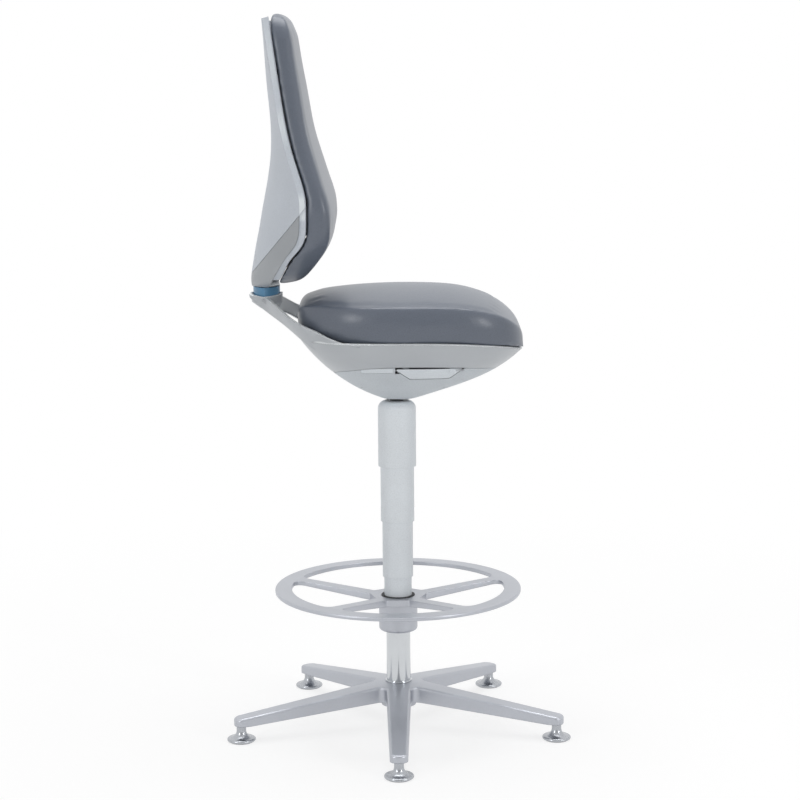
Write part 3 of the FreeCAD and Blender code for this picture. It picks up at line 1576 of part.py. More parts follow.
def cushion_section(rear, front, half, level):
    # flat at the rear, sides swelling and drawn in again, and a crowned front
    crown = 0.16 * (front - rear)
    ridge = front - crown
    middle = (rear + ridge) / 2
    return cushion_wire([
        Vector(rear, -0.96 * half, level), Vector(rear, 0.96 * half, level), Vector(middle, half, level),
        Vector(ridge, 0.93 * half, level), Vector(front, 0, level), Vector(ridge, -0.93 * half, level),
        Vector(middle, -half, level)])


def cushion_wire(points):
    # a straight side and then three arcs
    edges = [Part.LineSegment(points[0], points[1]), Part.Arc(points[1], points[2], points[3]),
             Part.Arc(points[3], points[4], points[5]), Part.Arc(points[5], points[6], points[0])]
    return Part.Wire([edge.toShape() for edge in edges])


# Seat cushion stations: share of the depth from the rear, share of the half width, the height of the
# underside above the rim beside it, and shares of the side height and of the crown
seat_stations = [
    (0.002, 0.390, 31.0, 0.35, 0.15),
    (0.011, 0.480, 22.0, 0.56, 0.30),
    (0.031, 0.565, 14.0, 0.75, 0.45),
    (0.088, 0.700, 5.5, 0.925, 0.60),
    (0.200, 0.880, 0.0, 1.01, 0.90),
    (0.373, 0.990, -3.5, 1.095, 1.00),
    (0.590, 0.995, -3.0, 1.09, 1.00),
    (0.746, 0.963, -2.6, 1.06, 0.82),
    (0.855, 0.884, -0.6, 0.94, 0.56),
    (0.899, 0.823, 1.7, 0.855, 0.42),
    (0.932, 0.758, 2.6, 0.765, 0.30),
    (0.965, 0.656, 2.6, 0.66, 0.25),
    (0.987, 0.540, 3.4, 0.55, 0.20),
    (1.000, 0.410, 7.0, 0.33, 0.12),
]


def seat_section(station):
    share, width, base, side, crown = station
    x = -size.seat_rear.value + share * (size.seat_front.value + size.seat_rear.value)
    rim_x = min(max(x, rim_end - size.bowl_rear.value), size.bowl_front.value - rim_end)
    half = width * size.seat_half_width.value
    low = bowl_point(1.0, rim_turn(rim_x)).z + size.cushion_gap.value + base
    ridge = low + side * size.seat_side_height.value
    top = ridge + crown * size.seat_crown.value
    middle = (low + ridge) / 2
    return cushion_wire([
        Vector(x, -0.905 * half, low), Vector(x, 0.905 * half, low), Vector(x, half, middle),
        Vector(x, 0.955 * half, ridge), Vector(x, 0, top), Vector(x, -0.955 * half, ridge),
        Vector(x, -half, middle)])


def seat_cushion():
    cushion = Part.makeLoft([seat_section(station) for station in seat_stations], True, False)
    # recess in its underside for the pan
    side = size.pan_recess_side.value
    corner = size.pan_round.value
    recess = block_shape(
        Vector(-size.pan_rear.value - side, -size.pan_half_width.value - side, pan_low.value - 20),
        Vector(size.pan_front.value + side, size.pan_half_width.value + side,
               pan_top.value + size.pan_recess.value))
    recess = recess.makeFillet(corner, [edge for edge in recess.Edges if is_upright(edge)])
    keep("seat_cushion", solid_feature("seat_cushion", cushion.cut(recess)))


star_base()
glides()
standpipe()
gas_spring()
sleeves()
foot_ring()
tilt_bracket()
seat_plates()
lower_cover_and_paddles()
release_parts()
seat_frame()
neck()
back_shells()
back_cushion()
seat_cushion()
doc.recompute()

for thing in doc.Objects:
    if "Invalid" in thing.State or "Error" in thing.State:
        raise RuntimeError("%s failed: %s" % (thing.Label, thing.State))
for label, thing in pieces.items():
    if thing.Shape.isNull() or not thing.Shape.isValid():
        raise RuntimeError("%s has no valid shape" % label)
    print(label, len(thing.Shape.Solids), round(thing.Shape.Volume), thing.Shape.BoundBox)
for label, thing in pieces.items():
    thing.Shape.exportStep("parts/%s.step" % label)
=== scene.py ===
import math

import bmesh
import bpy
import numpy as np
from mathutils import Matrix, Vector


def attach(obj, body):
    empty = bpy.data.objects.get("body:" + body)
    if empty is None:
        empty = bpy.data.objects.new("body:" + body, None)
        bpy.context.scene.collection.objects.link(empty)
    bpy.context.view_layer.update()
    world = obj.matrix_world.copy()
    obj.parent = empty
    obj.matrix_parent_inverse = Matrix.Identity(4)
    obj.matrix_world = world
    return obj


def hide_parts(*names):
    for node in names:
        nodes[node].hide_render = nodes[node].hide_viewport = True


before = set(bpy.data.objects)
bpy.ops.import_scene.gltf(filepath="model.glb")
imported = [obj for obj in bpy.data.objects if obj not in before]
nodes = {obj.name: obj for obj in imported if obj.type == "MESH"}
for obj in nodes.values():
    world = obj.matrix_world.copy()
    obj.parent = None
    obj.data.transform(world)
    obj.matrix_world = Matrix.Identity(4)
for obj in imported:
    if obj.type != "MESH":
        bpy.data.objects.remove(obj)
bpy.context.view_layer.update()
scene = bpy.context.scene
print("frame loaded:", len(nodes), "solids")

# camera, fitted to the photograph: a long lens above seat height, tilted down
cameraSet = {
    "place": (0.0066, -4.3176, 1.3904),
    "lens": 95.97,
    "sensor": 36.0,
    "tiltDown": 9.2118,
    "roll": -0.3818,
    "farClip": 60.0,
}


def makeCamera(values):
    data = bpy.data.cameras.new("photoCamera")
    data.lens = values["lens"]
    data.sensor_width = values["sensor"]
    data.clip_end = values["farClip"]
    camera = bpy.data.objects.new("photoCamera", data)
    turn = Matrix.Rotation(math.radians(90 - values["tiltDown"]), 4, "X")
    turn = turn @ Matrix.Rotation(math.radians(values["roll"]), 4, "Z")
    camera.matrix_world = Matrix.Translation(Vector(values["place"])) @ turn
    scene.collection.objects.link(camera)
    scene.camera = camera


makeCamera(cameraSet)

# studio: white surround, one large lamp above and two upright ones in front
studio = {
    "surround": 0.38,
    "frontDark": 0.55,
    "openSide": (-0.95, -0.35),
    "floorWhite": 0.92,
    "floorLift": 0.70,
    "floorGlow": 1.08,
    "floorClear": (0.7, 2.2),
    "floorSize": 40.0,
    "lamps": {
        "overhead": {"place": (0.0, 0.3, 3.6), "aim": (0, 0, 0.8), "size": (2.6, 2.2), "power": 62},
        "leftFront": {"place": (-3.2, -3.4, 1.7), "aim": (0, 0, 0.9), "size": (0.7, 1.7), "power": 40},
        "rightFront": {"place": (3.4, -3.2, 1.6), "aim": (0, 0, 0.9), "size": (0.7, 1.7), "power": 40},
    },
}


def addNode(tree, kind, place, **settings):
    node = tree.nodes.new(kind)
    node.location = place
    for key, value in settings.items():
        setattr(node, key, value)
    return node


def setRange(node, source, target=(0.0, 1.0)):
    # the span that a Map Range node reads, and the span that it gives for it
    node.inputs["From Min"].default_value, node.inputs["From Max"].default_value = source
    node.inputs["To Min"].default_value, node.inputs["To Max"].default_value = target


def whiteRays(tree, place):
    # mask of the rays that should meet plain white: camera, glossy and transmission
    path = addNode(tree, "ShaderNodeLightPath", place)
    first = addNode(tree, "ShaderNodeMath", (place[0] + 200, place[1]), operation="MAXIMUM")
    second = addNode(tree, "ShaderNodeMath", (place[0] + 400, place[1]), operation="MAXIMUM")
    tree.links.new(path.outputs["Is Camera Ray"], first.inputs[0])
    tree.links.new(path.outputs["Is Glossy Ray"], first.inputs[1])
    tree.links.new(first.outputs[0], second.inputs[0])
    tree.links.new(path.outputs["Is Transmission Ray"], second.inputs[1])
    return second.outputs[0]


def makeWorld(values):
    world = bpy.data.worlds.new("whiteSurround")
    scene.world = world
    world.use_nodes = True
    tree = world.node_tree
    tree.nodes.clear()
    mask = whiteRays(tree, (-900, 0))
    # reflections find the studio's open side, in front of the chair, a little darker
    way = addNode(tree, "ShaderNodeTexCoord", (-900, 400))
    parts = addNode(tree, "ShaderNodeSeparateXYZ", (-700, 400))
    openSide = addNode(tree, "ShaderNodeMapRange", (-500, 400), interpolation_type="SMOOTHSTEP")
    setRange(openSide, values["openSide"], (values["frontDark"], 1.0))
    path = addNode(tree, "ShaderNodeLightPath", (-900, 650))
    seen = addNode(tree, "ShaderNodeMath", (-300, 500), operation="MAXIMUM")
    strength = addNode(tree, "ShaderNodeMix", (-100, 0), data_type="FLOAT")
    strength.inputs["A"].default_value = values["surround"]
    ground = addNode(tree, "ShaderNodeBackground", (100, 0))
    ground.inputs["Color"].default_value = (1, 1, 1, 1)
    out = addNode(tree, "ShaderNodeOutputWorld", (300, 0))
    link = tree.links.new
    link(way.outputs["Generated"], parts.inputs[0])
    link(parts.outputs["Y"], openSide.inputs["Value"])
    link(openSide.outputs["Result"], seen.inputs[0])
    link(path.outputs["Is Camera Ray"], seen.inputs[1])
    link(mask, strength.inputs["Factor"])
    link(seen.outputs[0], strength.inputs["B"])
    link(strength.outputs["Result"], ground.inputs["Strength"])
    link(ground.outputs[0], out.inputs[0])


def makeLamp(name, values):
    data = bpy.data.lights.new(name, "AREA")
    data.shape = "RECTANGLE"
    data.size, data.size_y = values["size"]
    data.energy = values["power"]
    lamp = bpy.data.objects.new(name, data)
    lamp.location = values["place"]
    way = Vector(values["aim"]) - Vector(values["place"])
    lamp.rotation_euler = way.to_track_quat("-Z", "Y").to_euler()
    scene.collection.objects.link(lamp)


def makeFloor(values):
    half = values["floorSize"] / 2
    mesh = bpy.data.meshes.new("studioFloor")
    corners = [(-half, -half, 0), (half, -half, 0), (half, half, 0), (-half, half, 0)]
    mesh.from_pydata(corners, [], [(0, 1, 2, 3)])
    floor = bpy.data.objects.new("studioFloor", mesh)
    scene.collection.objects.link(floor)
    material = bpy.data.materials.new("studioFloor")
    material.use_nodes = True
    tree = material.node_tree
    tree.nodes.clear()
    matte = addNode(tree, "ShaderNodeBsdfDiffuse", (0, 0))
    white = values["floorWhite"]
    matte.inputs["Color"].default_value = (white, white, white, 1)
    glow = addNode(tree, "ShaderNodeEmission", (0, -200))
    glow.inputs["Color"].default_value = (1, 1, 1, 1)
    mask = whiteRays(tree, (-900, 200))
    # the shadow shows near the chair, and further out the floor clears to plain white
    place = addNode(tree, "ShaderNodeTexCoord", (-900, -300))
    reach = addNode(tree, "ShaderNodeVectorMath", (-700, -300), operation="LENGTH")
    lift = addNode(tree, "ShaderNodeMapRange", (-450, -150), interpolation_type="SMOOTHSTEP")
    brightness = addNode(tree, "ShaderNodeMapRange", (-450, -400), interpolation_type="SMOOTHSTEP")
    for ramp, near in ((lift, values["floorLift"]), (brightness, values["floorGlow"])):
        setRange(ramp, values["floorClear"], (near, 1.0))
        tree.links.new(reach.outputs["Value"], ramp.inputs["Value"])
    share = addNode(tree, "ShaderNodeMath", (-200, 200), operation="MULTIPLY")
    mix = addNode(tree, "ShaderNodeMixShader", (250, 0))
    out = addNode(tree, "ShaderNodeOutputMaterial", (450, 0))
    tree.links.new(place.outputs["Object"], reach.inputs[0])
    tree.links.new(mask, share.inputs[0])
    tree.links.new(lift.outputs["Result"], share.inputs[1])
    tree.links.new(brightness.outputs["Result"], glow.inputs["Strength"])
    tree.links.new(share.outputs[0], mix.inputs["Fac"])
    tree.links.new(matte.outputs[0], mix.inputs[1])
    tree.links.new(glow.outputs[0], mix.inputs[2])
    tree.links.new(mix.outputs[0], out.inputs["Surface"])
    mesh.materials.append(material)


scene.view_settings.view_transform = "Standard"
makeWorld(studio)
makeFloor(studio)
for lampName, lampValues in studio["lamps"].items():
    makeLamp(lampName, lampValues)
print("studio and camera ready")


# shared surface effects
def newGroup(name, inputs, outputs):
    group = bpy.data.node_groups.new(name, "ShaderNodeTree")
    for label, kind, value in inputs:
        socket = group.interface.new_socket(label, in_out="INPUT", socket_type=kind)
        socket.default_value = value
    for label, kind in outputs:
        group.interface.new_socket(label, in_out="OUTPUT", socket_type=kind)
    enter = addNode(group, "NodeGroupInput", (-900, 0))
    leave = addNode(group, "NodeGroupOutput", (700, 0))
    return group, enter, leave


speckle = {
    "detail": 2.0,
    "grit": 0.6,
    "darkSpan": (0.46, 0.30),
    "lightSpan": (0.54, 0.70),
    "cloudScale": 7.0,
    "cloudDetail": 3.0,
    "cloudSpan": (0.3, 0.7),
    "cloudTone": (0.965, 1.03),
    "middle": 0.5,
    "bevelSamples": 6,
}


def makeSpeckle(values):
    # fine light and dark specks over a slow cloud of tone, as on textured plastic and metallic paint
    group, enter, leave = newGroup("fineSpeckle", [
        ("Tone", "NodeSocketColor", (0.6, 0.6, 0.6, 1)),
        ("Dark Speck", "NodeSocketColor", (0.5, 0.5, 0.5, 1)),
        ("Light Speck", "NodeSocketColor", (0.7, 0.7, 0.7, 1)),
        ("Speck Scale", "NodeSocketFloat", 420.0),
        ("Amount", "NodeSocketFloat", 0.5),
        ("Base Gloss", "NodeSocketFloat", 0.5),
        ("Gloss Spread", "NodeSocketFloat", 0.06),
    ], [("Color", "NodeSocketColor"), ("Roughness", "NodeSocketFloat"), ("Height", "NodeSocketFloat")])
    place = addNode(group, "ShaderNodeTexCoord", (-900, 300))
    specks = addNode(group, "ShaderNodeTexNoise", (-650, 300))
    specks.inputs["Detail"].default_value = values["detail"]
    specks.inputs["Roughness"].default_value = values["grit"]
    cloud = addNode(group, "ShaderNodeTexNoise", (-650, 50))
    cloud.inputs["Scale"].default_value = values["cloudScale"]
    cloud.inputs["Detail"].default_value = values["cloudDetail"]
    darkMask = addNode(group, "ShaderNodeMapRange", (-420, 400))
    setRange(darkMask, values["darkSpan"])
    lightMask = addNode(group, "ShaderNodeMapRange", (-420, 150))
    setRange(lightMask, values["lightSpan"])
    darkShare = addNode(group, "ShaderNodeMath", (-220, 400), operation="MULTIPLY")
    lightShare = addNode(group, "ShaderNodeMath", (-220, 150), operation="MULTIPLY")
    darkMix = addNode(group, "ShaderNodeMix", (0, 300), data_type="RGBA")
    lightMix = addNode(group, "ShaderNodeMix", (200, 250), data_type="RGBA")
    shade = addNode(group, "ShaderNodeMapRange", (-420, -60))
    setRange(shade, values["cloudSpan"], values["cloudTone"])
    toned = addNode(group, "ShaderNodeVectorMath", (420, 200), operation="SCALE")
    swing = addNode(group, "ShaderNodeMath", (-420, -250), operation="SUBTRACT")
    swing.inputs[1].default_value = values["middle"]
    glossSwing = addNode(group, "ShaderNodeMath", (-200, -250), operation="MULTIPLY")
    gloss = addNode(group, "ShaderNodeMath", (0, -250), operation="ADD")
    link = group.links.new
    link(place.outputs["Object"], specks.inputs["Vector"])
    link(place.outputs["Object"], cloud.inputs["Vector"])
    link(enter.outputs["Speck Scale"], specks.inputs["Scale"])
    link(specks.outputs["Fac"], darkMask.inputs["Value"])
    link(specks.outputs["Fac"], lightMask.inputs["Value"])
    link(darkMask.outputs["Result"], darkShare.inputs[0])
    link(enter.outputs["Amount"], darkShare.inputs[1])
    link(lightMask.outputs["Result"], lightShare.inputs[0])
    link(enter.outputs["Amount"], lightShare.inputs[1])
    link(darkShare.outputs[0], darkMix.inputs["Factor"])
    link(enter.outputs["Tone"], darkMix.inputs["A"])
    link(enter.outputs["Dark Speck"], darkMix.inputs["B"])
    link(lightShare.outputs[0], lightMix.inputs["Factor"])
    link(darkMix.outputs["Result"], lightMix.inputs["A"])
    link(enter.outputs["Light Speck"], lightMix.inputs["B"])
    link(cloud.outputs["Fac"], shade.inputs["Value"])
    link(lightMix.outputs["Result"], toned.inputs[0])
    link(shade.outputs["Result"], toned.inputs["Scale"])
    link(specks.outputs["Fac"], swing.inputs[0])
    link(swing.outputs[0], glossSwing.inputs[0])
    link(enter.outputs["Gloss Spread"], glossSwing.inputs[1])
    link(glossSwing.outputs[0], gloss.inputs[0])
    link(enter.outputs["Base Gloss"], gloss.inputs[1])
    link(toned.outputs[0], leave.inputs["Color"])
    link(gloss.outputs[0], leave.inputs["Roughness"])
    link(specks.outputs["Fac"], leave.inputs["Height"])
    return group


speckleGroup = makeSpeckle(speckle)


def mixColour(colour, factor):
    return tuple(min(part * factor, 1.0) for part in colour) + (1.0,)


def fromPhoto(red, green, blue):
    # a display colour of 0 to 255 turned into a linear one
    parts = np.array([red, green, blue]) / 255.0
    low = parts / 12.92
    high = ((parts + 0.055) / 1.055) ** 2.4
    return tuple(np.where(parts <= 0.04045, low, high).tolist())


def paintedHighlightSides(tree, colour, normal, values):
    # painted highlight: a lighter tone where the rounded surface faces a given way, or either way along its
    # line
    turned = addNode(tree, "ShaderNodeVectorTransform", (-100, 500), vector_type="NORMAL",
                     convert_from="WORLD", convert_to="OBJECT")
    along = addNode(tree, "ShaderNodeVectorMath", (60, 500), operation="DOT_PRODUCT")
    along.inputs[1].default_value = values["way"]
    mask = addNode(tree, "ShaderNodeMapRange", (380, 500), interpolation_type="SMOOTHSTEP")
    setRange(mask, values["reach"])
    mix = addNode(tree, "ShaderNodeMix", (560, 400), data_type="RGBA")
    mix.inputs["B"].default_value = mixColour(values["colour"], 1.0)
    link = tree.links.new
    link(normal, turned.inputs[0])
    link(turned.outputs[0], along.inputs[0])
    facing = along.outputs["Value"]
    if values["eitherWay"]:
        size = addNode(tree, "ShaderNodeMath", (220, 500), operation="ABSOLUTE")
        link(facing, size.inputs[0])
        facing = size.outputs[0]
    link(facing, mask.inputs["Value"])
    link(mask.outputs["Result"], mix.inputs["Factor"])
    link(colour, mix.inputs["A"])
    return mix.outputs["Result"]


def speckledMaterial(name, values):
    material = bpy.data.materials.new(name)
    material.use_nodes = True
    tree = material.node_tree
    tree.nodes.clear()
    out = addNode(tree, "ShaderNodeOutputMaterial", (500, 0))
    shader = addNode(tree, "ShaderNodeBsdfPrincipled", (200, 0))
    shader.inputs["Metallic"].default_value = values["metallic"]
    effect = addNode(tree, "ShaderNodeGroup", (-300, 0), node_tree=speckleGroup)
    effect.inputs["Tone"].default_value = mixColour(values["colour"], 1.0)
    effect.inputs["Dark Speck"].default_value = mixColour(values["colour"], values["dark"])
    effect.inputs["Light Speck"].default_value = mixColour(values["colour"], values["light"])
    effect.inputs["Speck Scale"].default_value = values["scale"]
    effect.inputs["Amount"].default_value = values["amount"]
    effect.inputs["Base Gloss"].default_value = values["roughness"]
    effect.inputs["Gloss Spread"].default_value = values["spread"]
    rounded = addNode(tree, "ShaderNodeBevel", (-300, -350), samples=speckle["bevelSamples"])
    rounded.inputs["Radius"].default_value = values["edge"]
    bump = addNode(tree, "ShaderNodeBump", (-50, -250))
    bump.inputs["Strength"].default_value = values["bump"]
    bump.inputs["Distance"].default_value = values["bumpDepth"]
    link = tree.links.new
    colour = effect.outputs["Color"]
    # painted highlight where the surface faces the given way
    if "paintedHighlight" in values:
        colour = paintedHighlightSides(tree, colour, rounded.outputs["Normal"], values["paintedHighlight"])
    link(colour, shader.inputs["Base Color"])
    link(effect.outputs["Roughness"], shader.inputs["Roughness"])
    link(effect.outputs["Height"], bump.inputs["Height"])
    link(rounded.outputs["Normal"], bump.inputs["Normal"])
    link(bump.outputs["Normal"], shader.inputs["Normal"])
    link(shader.outputs[0], out.inputs["Surface"])
    return material


finishes = {
    "silverPaint": {"colour": fromPhoto(188, 191, 198), "metallic": 0.75, "roughness": 0.36,
                    "spread": 0.10, "dark": 0.9, "light": 1.12, "scale": 900, "amount": 0.55,
                    "bump": 0.04, "bumpDepth": 0.0003, "edge": 0.0030},
    "polishedTube": {"colour": fromPhoto(205, 208, 211), "metallic": 1.0, "roughness": 0.13,
                     "spread": 0.05, "dark": 0.95, "light": 1.03, "scale": 60, "amount": 0.5,
                     "bump": 0.01, "bumpDepth": 0.0002, "edge": 0.0008},
    "glideMetal": {"colour": fromPhoto(180, 183, 188), "metallic": 0.9, "roughness": 0.28,
                   "spread": 0.08, "dark": 0.9, "light": 1.06, "scale": 500, "amount": 0.5,
                   "bump": 0.03, "bumpDepth": 0.0002, "edge": 0.0015},
    "blackRubber": {"colour": fromPhoto(42, 43, 46), "metallic": 0.0, "roughness": 0.62,
                    "spread": 0.12, "dark": 0.75, "light": 1.35, "scale": 700, "amount": 0.6,
                    "bump": 0.12, "bumpDepth": 0.0004, "edge": 0.0010},
    "paleSleeve": {"colour": fromPhoto(226, 231, 235), "metallic": 0.0, "roughness": 0.52,
                   "spread": 0.14, "dark": 0.90, "light": 1.06, "scale": 420, "amount": 0.75,
                   "bump": 0.10, "bumpDepth": 0.0004, "edge": 0.0012},
    "coverPlastic": {"colour": fromPhoto(196, 202, 207), "metallic": 0.0, "roughness": 0.55,
                     "spread": 0.14, "dark": 0.84, "light": 1.08, "scale": 420, "amount": 0.8,
                     "bump": 0.12, "bumpDepth": 0.0005, "edge": 0.0010},
    "paddlePlastic": {"colour": fromPhoto(216, 222, 227), "metallic": 0.0, "roughness": 0.52,
                      "spread": 0.12, "dark": 0.88, "light": 1.07, "scale": 420, "amount": 0.75,
                      "bump": 0.10, "bumpDepth": 0.0004, "edge": 0.0012},
    "shellPlastic": {"colour": fromPhoto(196, 202, 210), "metallic": 0.0, "roughness": 0.50,
                     "spread": 0.14, "dark": 0.89, "light": 1.06, "scale": 420, "amount": 0.75,
                     "bump": 0.10, "bumpDepth": 0.0004, "edge": 0.0016,
                     # painted highlight: the side faces of the rim band, turned either way along Y, lighter
                     "paintedHighlight": {"colour": fromPhoto(226, 232, 236), "way": (0, 1, 0), "reach": (0.972, 0.992),
                              "eitherWay": True}},
    "silverFrame": {"colour": fromPhoto(180, 184, 188), "metallic": 0.15, "roughness": 0.36,
                    "spread": 0.10, "dark": 0.92, "light": 1.08, "scale": 800, "amount": 0.5,
                    "bump": 0.03, "bumpDepth": 0.0003, "edge": 0.0040,
                    # painted highlight: faces turned up, and the rounded top edges, lighter
                    "paintedHighlight": {"colour": fromPhoto(240, 244, 246), "way": (0, 0, 1), "reach": (0.10, 0.55),
                             "eitherWay": False}},
    "carrierSilver": {"colour": fromPhoto(158, 162, 166), "metallic": 0.15, "roughness": 0.40,
                      "spread": 0.10, "dark": 0.92, "light": 1.08, "scale": 800, "amount": 0.5,
                      "bump": 0.03, "bumpDepth": 0.0003, "edge": 0.0034,
                      # painted highlight: faces turned forward, along the front edge, lighter
                      "paintedHighlight": {"colour": fromPhoto(222, 227, 230), "way": (1, 0, 0), "reach": (0.35, 0.75),
                               "eitherWay": False}},
    "blueNeck": {"colour": fromPhoto(84, 136, 172), "metallic": 0.0, "roughness": 0.34,
                 "spread": 0.08, "dark": 0.92, "light": 1.06, "scale": 380, "amount": 0.6,
                 "bump": 0.04, "bumpDepth": 0.0003, "edge": 0.0020},
    "darkPlastic": {"colour": fromPhoto(58, 60, 64), "metallic": 0.0, "roughness": 0.5,
                    "spread": 0.12, "dark": 0.8, "light": 1.25, "scale": 500, "amount": 0.6,
                    "bump": 0.08, "bumpDepth": 0.0003, "edge": 0.0008},
    "plainSteel": {"colour": fromPhoto(170, 173, 177), "metallic": 1.0, "roughness": 0.32,
                   "spread": 0.12, "dark": 0.88, "light": 1.06, "scale": 240, "amount": 0.6,
                   "bump": 0.03, "bumpDepth": 0.0002, "edge": 0.0008},
    "plywood": {"colour": fromPhoto(190, 158, 116), "metallic": 0.0, "roughness": 0.6,
                "spread": 0.12, "dark": 0.82, "light": 1.1, "scale": 160, "amount": 0.7,
                "bump": 0.1, "bumpDepth": 0.0005, "edge": 0.0010},
}

wearers = {
    "silverPaint": ["star_base", "foot_ring", "ring_lock_collar"],
    "polishedTube": ["standpipe", "pipe_ring", "piston_rod"],
    "glideMetal": ["glide_bells", "glide_studs"],
    "blackRubber": ["glide_pads", "ring_seal", "bump_stop"],
    "paleSleeve": ["cover_sleeve_1", "cover_sleeve_2", "cover_sleeve_3", "cover_sleeve_4"],
    "coverPlastic": ["lower_cover"],
    "paddlePlastic": ["height_paddle", "tilt_paddle", "side_inserts"],
    "shellPlastic": ["back_shell"],
    "silverFrame": ["seat_frame"],
    "carrierSilver": ["back_carrier"],
    "blueNeck": ["neck_guide"],
    "darkPlastic": ["guide_bush", "ring_collet", "tilt_bushes", "friction_discs", "neck_bushes",
                    "back_slider", "back_posts", "piston_ring", "gas_cylinder"],
    "plywood": ["seat_pan", "back_board"],
    "plainSteel": ["pipe_floor", "lower_race", "bearing_balls", "upper_race", "rod_clip", "piston",
                   "cylinder_gland", "release_pin", "tilt_bracket", "tilt_axles", "axle_clips",
                   "axle_ears", "seat_plate", "pan_posts", "cover_screws", "paddle_pins", "release_bar",
                   "bar_pin", "bar_hanger", "neck_pins", "back_tongue"],
}


def dressNodes():
    for finish, names in wearers.items():
        material = speckledMaterial(finish, finishes[finish])
        for name in names:
            mesh = nodes[name].data
            mesh.materials.clear()
            mesh.materials.append(material)


dressNodes()
print("solids dressed:", len(finishes), "finishes")


# upholstery: smooth imitation leather with a fine pebble
def makeLeatherGrain(values):
    # pebbles from cell distance, broken up by noise, with painted shade in the low creases between them and
    # a slow drift of tone
    group, enter, leave = newGroup("leatherGrain", [
        ("Tone", "NodeSocketColor", (0.2, 0.2, 0.2, 1)),
        ("Crease Shade", "NodeSocketColor", (0.15, 0.15, 0.15, 1)),
        ("Pebble Scale", "NodeSocketFloat", 700.0),
    ], [("Color", "NodeSocketColor"), ("Roughness", "NodeSocketFloat"), ("Height", "NodeSocketFloat")])
    place = addNode(group, "ShaderNodeTexCoord", (-900, 300))
    pebble = addNode(group, "ShaderNodeTexVoronoi", (-600, 300), feature="SMOOTH_F1")
    pebble.inputs["Smoothness"].default_value = values["pebbleBlend"]
    ripple = addNode(group, "ShaderNodeTexNoise", (-600, 0))
    ripple.inputs["Scale"].default_value = values["rippleScale"]
    ripple.inputs["Detail"].default_value = values["rippleDetail"]
    drift = addNode(group, "ShaderNodeTexNoise", (-600, -250))
    drift.inputs["Scale"].default_value = values["driftScale"]
    height = addNode(group, "ShaderNodeMath", (-350, 200), operation="MULTIPLY_ADD")
    height.inputs[1].default_value = values["pebbleHeight"]
    # painted shade: darker in the creases between pebbles, where the bump is lowest
    mask = addNode(group, "ShaderNodeMapRange", (-350, 400))
    setRange(mask, values["creaseShadeSpan"])
    mix = addNode(group, "ShaderNodeMix", (-50, 400), data_type="RGBA")
    shade = addNode(group, "ShaderNodeMapRange", (-350, -250))
    setRange(shade, (0.0, 1.0), values["driftTone"])
    toned = addNode(group, "ShaderNodeVectorMath", (250, 300), operation="SCALE")
    gloss = addNode(group, "ShaderNodeMapRange", (-350, 0))
    setRange(gloss, (0.0, 1.0), values["gloss"])
    link = group.links.new
    link(place.outputs["Object"], pebble.inputs["Vector"])
    link(place.outputs["Object"], ripple.inputs["Vector"])
    link(place.outputs["Object"], drift.inputs["Vector"])
    link(enter.outputs["Pebble Scale"], pebble.inputs["Scale"])
    link(pebble.outputs["Distance"], height.inputs[0])
    link(ripple.outputs["Fac"], height.inputs[2])
    link(pebble.outputs["Distance"], mask.inputs["Value"])
    link(mask.outputs["Result"], mix.inputs["Factor"])
    link(enter.outputs["Tone"], mix.inputs["A"])
    link(enter.outputs["Crease Shade"], mix.inputs["B"])
    link(drift.outputs["Fac"], shade.inputs["Value"])
    link(mix.outputs["Result"], toned.inputs[0])
    link(shade.outputs["Result"], toned.inputs["Scale"])
    link(ripple.outputs["Fac"], gloss.inputs["Value"])
    link(toned.outputs[0], leave.inputs["Color"])
    link(gloss.outputs["Result"], leave.inputs["Roughness"])
    link(height.outputs[0], leave.inputs["Height"])
    return group


upholstery = {
    "colour": fromPhoto(103, 110, 122),
    # painted shade: share of the tone left in the low creases of the grain
    "creaseShade": 0.86,
    "pebble": 750,
    "pebbleBlend": 0.6,
    "pebbleHeight": -0.8,
    "creaseShadeSpan": (0.35, 0.75),
    "rippleScale": 260.0,
    "rippleDetail": 3.0,
    "driftScale": 5.0,
    "driftTone": (0.96, 1.04),
    "gloss": (0.28, 0.39),
    "specular": 0.5,
    "bump": 0.10,
    "bumpDepth": 0.0004,
}


def makeUpholstery(values):
    material = bpy.data.materials.new("greyImitationLeather")
    material.use_nodes = True
    tree = material.node_tree
    tree.nodes.clear()
    out = addNode(tree, "ShaderNodeOutputMaterial", (500, 0))
    shader = addNode(tree, "ShaderNodeBsdfPrincipled", (200, 0))
    shader.inputs["Specular IOR Level"].default_value = values["specular"]
    effect = addNode(tree, "ShaderNodeGroup", (-300, 0), node_tree=makeLeatherGrain(values))
    effect.inputs["Tone"].default_value = mixColour(values["colour"], 1.0)
    effect.inputs["Crease Shade"].default_value = mixColour(values["colour"], values["creaseShade"])
    effect.inputs["Pebble Scale"].default_value = values["pebble"]
    bump = addNode(tree, "ShaderNodeBump", (-50, -250))
    bump.inputs["Strength"].default_value = values["bump"]
    bump.inputs["Distance"].default_value = values["bumpDepth"]
    link = tree.links.new
    link(effect.outputs["Color"], shader.inputs["Base Color"])
    link(effect.outputs["Roughness"], shader.inputs["Roughness"])
    link(effect.outputs["Height"], bump.inputs["Height"])
    link(bump.outputs["Normal"], shader.inputs["Normal"])
    link(shader.outputs[0], out.inputs["Surface"])
    return material


leather = makeUpholstery(upholstery)


def meshArray(mesh, kind):
    values = np.empty(len(mesh.vertices) * 3, np.float32)
    if kind == "co":
        mesh.vertices.foreach_get("co", values)
    else:
        mesh.vertex_normals.foreach_get("vector", values)
    return values.reshape(-1, 3).astype(float)


